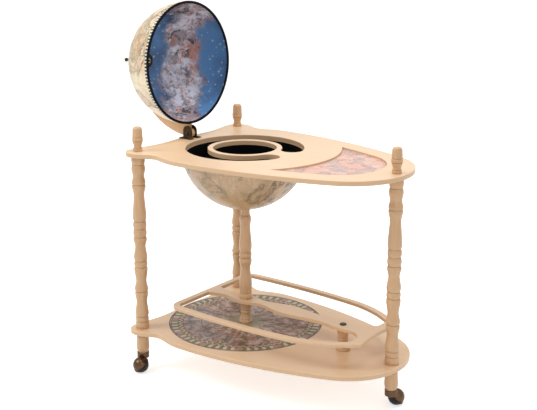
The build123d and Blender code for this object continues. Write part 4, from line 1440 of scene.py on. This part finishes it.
@dataclass
class Globe:
    """Bowl and tray below the table, lid with its lining, rim and arm above."""

    trim_height: float = 0.004
    trim_outside: float = 0.16195
    trim_inside: float = 0.15525
    trim_round: float = 0.0012

    def build(self) -> None:
        """Dress the globe's nodes and lay the rounded rim trim."""
        dress_node("bowl_shell", BOWL_CHART)
        dress_node("glass_tray", BLACK_PLASTIC)
        dress_node("lid_shell", LID_CHART)
        dress_node("lid_lining", LINING)
        dress_node("meridian_arm", ARM_WOOD)
        self.rim_trim()

    def rim_trim(self) -> bpy.types.Object:
        """Turn the black trim with rounded edges round the lid's rim.

        Returns:
            The piece.
        """
        section = [
            (self.trim_inside, 0.0),
            (self.trim_outside, 0.0),
            (self.trim_outside, self.trim_height),
            (self.trim_inside, self.trim_height),
        ]
        ring = spun(section, 144, closed=True)
        soften(ring, self.trim_round, 3)
        trim = moved(ring, PLACE.lid_frame())
        return finished("lid_rim_moulding", trim, BLACK_PLASTIC, "lid", ["lid_rim_trim"])


@dataclass
class CrossScrew:
    """Pan-head screw, made with its seat at the origin.

    Its cross recess lies under the head's flat top, which stays whole and hides it.
    """

    shank: float
    head: float
    height: float
    length: float
    flat: float = 0.0024
    slot: float = 0.00042
    depth: float = 0.0007
    sides: int = 24
    cut_snap: float = 1e-7
    level_slack: float = 1e-5

    def shape(self) -> Shape:
        """Turn the screw and sink its cross.

        The extrude is given faces alone, so it keeps the ones over the cross.

        Returns:
            The screw.
        """
        outline = [
            (0.0, self.height),
            (self.flat, self.height),
            (self.head * 0.9, self.height * 0.62),
            (self.head, self.height * 0.2),
            (self.head, 0.0),
            (self.shank, 0.0),
            (self.shank, -self.length + self.shank),
            (0.0, -self.length),
        ]
        screw = spun(outline, self.sides)
        for normal in ((1, 0, 0), (0, 1, 0)):
            for side in (-self.slot, self.slot):
                geometry = [*screw.verts, *screw.edges, *screw.faces]
                place = Vector(normal) * side
                bmesh.ops.bisect_plane(
                    screw, geom=geometry, plane_co=place, plane_no=normal, dist=self.cut_snap
                )
        cross = [face for face in screw.faces if self.in_cross(face.calc_center_median())]
        sunk = bmesh.ops.extrude_face_region(screw, geom=cross)["geom"]
        floor = [item for item in sunk if isinstance(item, bmesh.types.BMVert)]
        bmesh.ops.translate(screw, verts=floor, vec=(0, 0, -self.depth))
        return screw

    def in_cross(self, point: Vector) -> bool:
        """Tell whether a point of the head's flat top lies in the cross."""
        on_top = abs(point.z - self.height) < self.level_slack
        return on_top and min(abs(point.x), abs(point.y)) < self.slot


@dataclass
class Hinge:
    """Hinge under the arm: two arched brackets, the pin with domed heads and four wood screws.

    The brackets' edges come out rounded by less than a third of `bracket_round`.
    """

    bracket_round: float = 0.0007
    pin_radius: float = 0.003
    pin_head: float = 0.0055
    pin_head_height: float = 0.002
    screw_head: float = 0.004
    screw_shank: float = 0.002
    screw_head_height: float = 0.0014
    screw_twist: float = 40.0

    def build(self) -> None:
        """Build the brackets, the pin and the screws."""
        for side in ("front", "back"):
            node = f"hinge_bracket_{side}"
            bracket = copied(node)
            soften(bracket, self.bracket_round, 2, 50.0)
            finished(f"arched_{node}", bracket, BRONZE, "stand", [node], 40.0)
        self.pin()
        self.screws()

    def pin(self) -> None:
        """Turn the pin with a domed head at each end and lay it across the hinge."""
        low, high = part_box("hinge_pin")
        end = (high.y - low.y) / 2
        neck = end - self.pin_head_height
        dome = [
            (self.pin_head, neck),
            (self.pin_head, neck + self.pin_head_height * 0.35),
            (self.pin_head * 0.86, neck + self.pin_head_height * 0.7),
            (self.pin_head * 0.5, neck + self.pin_head_height * 0.94),
            (0.0, end),
        ]
        upper = [(self.pin_radius, neck), *dome]
        lower = [(radius, -height) for radius, height in reversed(upper)]
        place = Matrix.Translation(node_middle("hinge_pin")) @ Matrix.Rotation(math.pi / 2, 4, "X")
        pin = moved(spun([*lower, *upper], 40), place)
        finished("domed_hinge_pin", pin, BRONZE, "stand", ["hinge_pin"])

    def screws(self) -> None:
        """Set the four screws at the corners of their node's box, each with its cross turned a bit."""
        low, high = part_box("hinge_screws")
        seat = high.z - self.screw_head_height
        screw = CrossScrew(self.screw_shank, self.screw_head, self.screw_head_height, seat - low.z)
        shapes = []
        for x in (low.x + self.screw_head, high.x - self.screw_head):
            for y in (low.y + self.screw_head, high.y - self.screw_head):
                turn = Matrix.Rotation(self.screw_twist * (x + 2 * y), 4, "Z")
                shapes.append(moved(screw.shape(), Matrix.Translation((x, y, seat)) @ turn))
        screws = gathered(shapes)
        finished("cross_hinge_screws", screws, BRONZE, "stand", ["hinge_screws"], 30.0)


@dataclass
class PoleFittings:
    """Knob outside the arm and plate inside the lid, both turned about the pole pin.

    The stem's points are (radius, height) in metres above the knob's foot.
    """

    pin: float = 0.0031
    knob_foot: float = 0.1976
    knob_centre: float = 0.2338
    knob_ball: float = 0.0055
    knob_neck: float = 0.0036
    knob_stem: Sequence[Point2] = (
        (0.0075, 0.0),
        (0.008, 0.0005),
        (0.008, 0.0018),
        (0.007, 0.0028),
        (0.0044, 0.0036),
        (0.0036, 0.0050),
        (0.0036, 0.0142),
        (0.0045, 0.0150),
        (0.0045, 0.0164),
        (0.0036, 0.0172),
    )
    knob_steps: int = 10
    knob_seam: float = 0.0001
    plate_radius: float = 0.020
    plate_thickness: float = 0.0025
    plate_bead: float = 0.0006
    plate_edge: float = 0.0010
    plate_back_edge: float = 0.0002

    def knob_profile(self) -> list[Point2]:
        """Outline of the knob from the pin's bore over the ball and back down the bore.

        Returns:
            Points of (radius, height) in the lid's frame.
        """
        top = self.knob_centre
        outline = [(self.pin, self.knob_foot)]
        outline.extend((radius, self.knob_foot + height) for radius, height in self.knob_stem)
        start = math.asin(self.knob_neck / self.knob_ball)
        for step in range(self.knob_steps + 1):
            angle = (math.pi - start) * (1 - step / self.knob_steps)
            outline.append((self.knob_ball * math.sin(angle), top + self.knob_ball * math.cos(angle)))
        outline[-1] = (0.0, top + self.knob_ball)
        seam = top + self.knob_seam
        return [(0.0, seam), (self.pin, seam), *outline]

    def build(self) -> None:
        """Build the knob and the plate."""
        knob = moved(spun(self.knob_profile(), 40), PLACE.lid_frame())
        finished("turned_pole_knob", knob, BRONZE, "lid", ["pole_knob"])
        plate = moved(spun(self.plate_profile(), 64, closed=True), PLACE.lid_frame())
        finished("beaded_pole_plate", plate, BRONZE, "lid", ["pole_plate"])

    def plate_profile(self) -> list[Point2]:
        """Section of the plate with a bead round its face.

        Returns:
            Points of (radius, height) in the lid's frame.
        """
        corners = [PLACE.lid_frame().inverted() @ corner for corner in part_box("pole_plate")]
        level = sum(corner.z for corner in corners) / 2
        face, back = level - self.plate_thickness / 2, level + self.plate_thickness / 2
        rim = self.plate_radius
        return [
            (self.pin, face),
            (rim * 0.62, face),
            (rim * 0.66, face - self.plate_bead * 0.7),
            (rim * 0.70, face - self.plate_bead),
            (rim * 0.74, face - self.plate_bead * 0.7),
            (rim * 0.78, face),
            (rim * 0.95, face),
            (rim, face + self.plate_edge),
            (rim, back - self.plate_back_edge),
            (rim - self.plate_back_edge, back),
            (self.pin, back),
        ]


@dataclass
class Castors:
    """Ball castors: wheels with a grooved tread, and a bead round the rim of each hood.

    The ball's outline and its grooves stand at angles in degrees from the hub.
    """

    ball: float = 0.021
    lip: float = 0.0225
    lip_top: float = -0.0004
    lip_bottom: float = -0.0039
    hollow: float = 0.017
    hollow_floor: float = -0.0054
    boss: float = 0.006
    bore: float = 0.00258
    bore_end: float = -0.0152
    hub: float = 0.005
    hub_sink: float = 0.0007
    groove: float = 0.00035
    ball_angles: Sequence[int] = range(14, 80, 3)
    grooved_at: tuple[int, ...] = (38, 56)
    chamfer: float = 0.0005
    bead: float = 0.0008
    bead_level: float = 0.0016
    sides: int = 72

    def frame_of(self, place: str) -> Matrix:
        """Place of one wheel: its ball's centre, with the axle along its Z.

        Args:
            place: Which castor.

        Returns:
            The place.
        """
        joint = next(joint for joint in frame["joints"] if joint["name"] == f"castor_roll_{place}")
        turn = Vector(joint["axis"]).to_track_quat("Z", "Y").to_matrix().to_4x4()
        return Matrix.Translation(joint["pos_m"]) @ turn

    def wheel_profile(self) -> list[Point2]:
        """Outline from the sunk hub over the ball and tread to the axle's bore.

        Returns:
            Points of (radius, height) about the ball's centre.
        """
        outline = [(0.0, self.hub_sink - self.ball), (self.hub * 0.8, self.hub_sink - self.ball)]
        for degrees in self.ball_angles:
            reach = self.ball - (self.groove if degrees in self.grooved_at else 0.0)
            angle = math.radians(degrees)
            outline.append((reach * math.sin(angle), -reach * math.cos(angle)))
        middle = (self.lip_top + self.lip_bottom) / 2
        return [
            *outline,
            (self.lip - self.chamfer, self.lip_bottom),
            (self.lip, self.lip_bottom + self.chamfer),
            (self.lip, middle - self.groove),
            (self.lip - self.groove, middle),
            (self.lip, middle + self.groove),
            (self.lip, self.lip_top - self.chamfer),
            (self.lip - self.chamfer, self.lip_top),
            (self.hollow, self.lip_top),
            (self.hollow, self.hollow_floor),
            (self.boss, self.hollow_floor),
            (self.boss, self.lip_top),
            (self.bore, self.lip_top),
            (self.bore, self.bore_end),
            (0.0, self.bore_end),
        ]

    def bead_section(self) -> list[Point2]:
        """Half-round section of the bead round the hood's rim.

        Returns:
            Points of (radius, height) about the ball's centre.
        """
        low, high = self.bead_level - self.bead, self.bead_level + self.bead
        inside = self.ball - 2 * self.bead
        round_side = []
        for angle in map(math.radians, range(-90, 91, 30)):
            reach = self.ball + self.bead * math.cos(angle)
            round_side.append((reach, self.bead_level + self.bead * math.sin(angle)))
        return [(inside, low), *round_side, (inside, high)]

    def build(self) -> None:
        """Build every wheel and bead, and dress the hoods, axles and sockets."""
        for place in PLACES:
            where = self.frame_of(place)
            wheel = moved(spun(self.wheel_profile(), self.sides), where)
            node = f"castor_wheel_{place}"
            finished(f"grooved_{node}", wheel, WHEEL, f"wheel_{place}", [node], 30.0)
            bead = moved(spun(self.bead_section(), self.sides, closed=True), where)
            finished(f"hood_bead_{place}", bead, CASTOR_BRONZE, f"castor_{place}")
            dress_node(f"castor_hood_{place}", CASTOR_BRONZE)
            dress_node(f"castor_axle_{place}", STEEL)
            dress_node(f"castor_socket_{place}", STEEL)


@dataclass
class Fittings:
    """Small metal fittings that keep their solid shape."""

    bronze: Sequence[str] = ("pole_pin", "spindle_screw_cap")
    steel: Sequence[str] = (
        "top_leg_studs",
        "bottom_leg_studs",
        "spindle_screw",
        "post_screw",
        "locating_ring_screws",
        "bowl_washer",
        "bowl_screw",
        "pole_nut",
        "arm_rim_screw",
    )

    def dress(self) -> None:
        """Give the fittings their finishes."""
        for node in self.bronze:
            dress_node(node, BRONZE)
        for node in self.steel:
            dress_node(node, STEEL)


# --------------------------------------------------------------------------
# studio
# --------------------------------------------------------------------------


@dataclass(frozen=True)
class Lamp:
    """A soft square lamp, with its power in watts and its side in metres."""

    name: str
    place: Point3
    power: float
    size: float

    def hang(self, aim: Point3) -> None:
        """Hang the lamp.

        Args:
            aim: Point that it looks at.
        """
        data = bpy.data.lights.new(self.name, "AREA")
        data.energy = self.power
        data.size = self.size
        lamp = added(self.name, data)
        lamp.location = self.place
        lamp.rotation_euler = (Vector(aim) - Vector(self.place)).to_track_quat("-Z", "Y").to_euler()


@dataclass
class Studio:
    """Camera, floor, lamps and world.

    The camera stands at a distance and to the side of the globe's axis, at a height above the
    tabletop. Its focal length and the row that its axis meets are in pixels of a view `width` by
    `rows` pixels.
    """

    focal: float = 1111.98
    height: float = 0.62839
    distance: float = 2.79383
    side: float = 0.06061
    pitch: float = 12.948
    azimuth: float = -37.546
    centre_row: float = 152.4
    width: float = 537.0
    rows: float = 410.0
    sensor: float = 36.0
    clip: float = 40.0
    floor_size: float = 14.0
    floor_grey: float = 0.93
    floor_glow: float = 0.62
    ambient: float = 0.50
    aim: Point3 = (0.0, 0.0, 0.5)
    lamps: tuple[Lamp, ...] = (
        Lamp("key_lamp", (-1.6, -1.9, 2.6), 36.0, 1.4),
        Lamp("fill_lamp", (2.6, -1.4, 1.8), 10.0, 2.2),
        Lamp("top_lamp", (0.2, 0.3, 3.2), 42.0, 2.0),
    )

    def camera(self) -> None:
        """Place the camera."""
        data = bpy.data.cameras.new("camera")
        data.sensor_width = self.sensor
        data.lens = self.focal * self.sensor / self.width
        data.shift_y = -(self.rows / 2 - self.centre_row) / self.width
        data.clip_end = self.clip
        turn = math.radians(self.azimuth)
        along = Vector((math.cos(turn), math.sin(turn)))
        left = Vector((-along.y, along.x))
        spot = Vector((self.side, -self.distance))
        camera = added("camera", data)
        camera.location = (spot.dot(along) + PLACE.axis_x, spot.dot(left), self.height + PLACE.table_top)
        camera.rotation_euler = (math.radians(90.0 - self.pitch), 0.0, -turn)
        bpy.context.scene.camera = camera

    @staticmethod
    def seen(tree: Tree) -> Socket:
        """Mask of what the camera meets, straight, mirrored or through glass.

        Args:
            tree: Tree that asks.

        Returns:
            The mask.
        """
        rays = tree.node("ShaderNodeLightPath")
        mask = tree.math("MAXIMUM", rays.outputs["Is Camera Ray"], rays.outputs["Is Glossy Ray"])
        return tree.math("MAXIMUM", mask, rays.outputs["Is Transmission Ray"])

    def floor(self) -> None:
        """Lay a plain pale floor that keeps the bar's shadow."""
        mesh = bmesh.new()
        bmesh.ops.create_grid(mesh, x_segments=1, y_segments=1, size=self.floor_size)
        data = bpy.data.meshes.new("floor")
        mesh.to_mesh(data)
        mesh.free()
        material = bpy.data.materials.new("pale_floor")
        material.use_nodes = True
        material.node_tree.nodes.clear()
        tree = Tree(material.node_tree)
        pale = opaque((self.floor_grey,) * 3)
        shader = tree.node("ShaderNodeBsdfPrincipled", {"Base Color": pale, "Roughness": 0.9})
        light = tree.node("ShaderNodeEmission", {"Color": WHITE, "Strength": self.floor_glow})
        both = tree.node("ShaderNodeAddShader", {0: shader.outputs[0], 1: light.outputs[0]})
        sides = (self.seen(tree), shader.outputs[0], both.outputs[0])
        mixed = tree.node("ShaderNodeMixShader", dict(enumerate(sides)))
        tree.node("ShaderNodeOutputMaterial", {"Surface": mixed.outputs[0]})
        data.materials.append(material)
        added("floor", data)

    def world(self) -> None:
        """Plain white surroundings, brighter to the eye than to the bar."""
        world = bpy.data.worlds.new("studio")
        world.use_nodes = True
        world.node_tree.nodes.clear()
        tree = Tree(world.node_tree)
        strength = tree.math("MULTIPLY_ADD", self.seen(tree), 1.0 - self.ambient, self.ambient)
        back = tree.node("ShaderNodeBackground", {"Color": WHITE, "Strength": strength})
        tree.node("ShaderNodeOutputWorld", {"Surface": back.outputs[0]})
        bpy.context.scene.world = world
        bpy.context.scene.view_settings.view_transform = "Standard"

    def build(self) -> None:
        """Set up the whole studio."""
        self.camera()
        self.floor()
        for lamp in self.lamps:
            lamp.hang(self.aim)
        self.world()


def main() -> None:
    """Build the bar piece by piece and set up the studio."""
    logging.basicConfig(level=logging.INFO, format="%(name)s: %(message)s")
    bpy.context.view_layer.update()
    Studio().build()
    Boards().dress()
    Globe().build()
    TurnedWork().build()
    Hinge().build()
    PoleFittings().build()
    Castors().build()
    Fittings().dress()


if __name__ == "__main__":
    main()
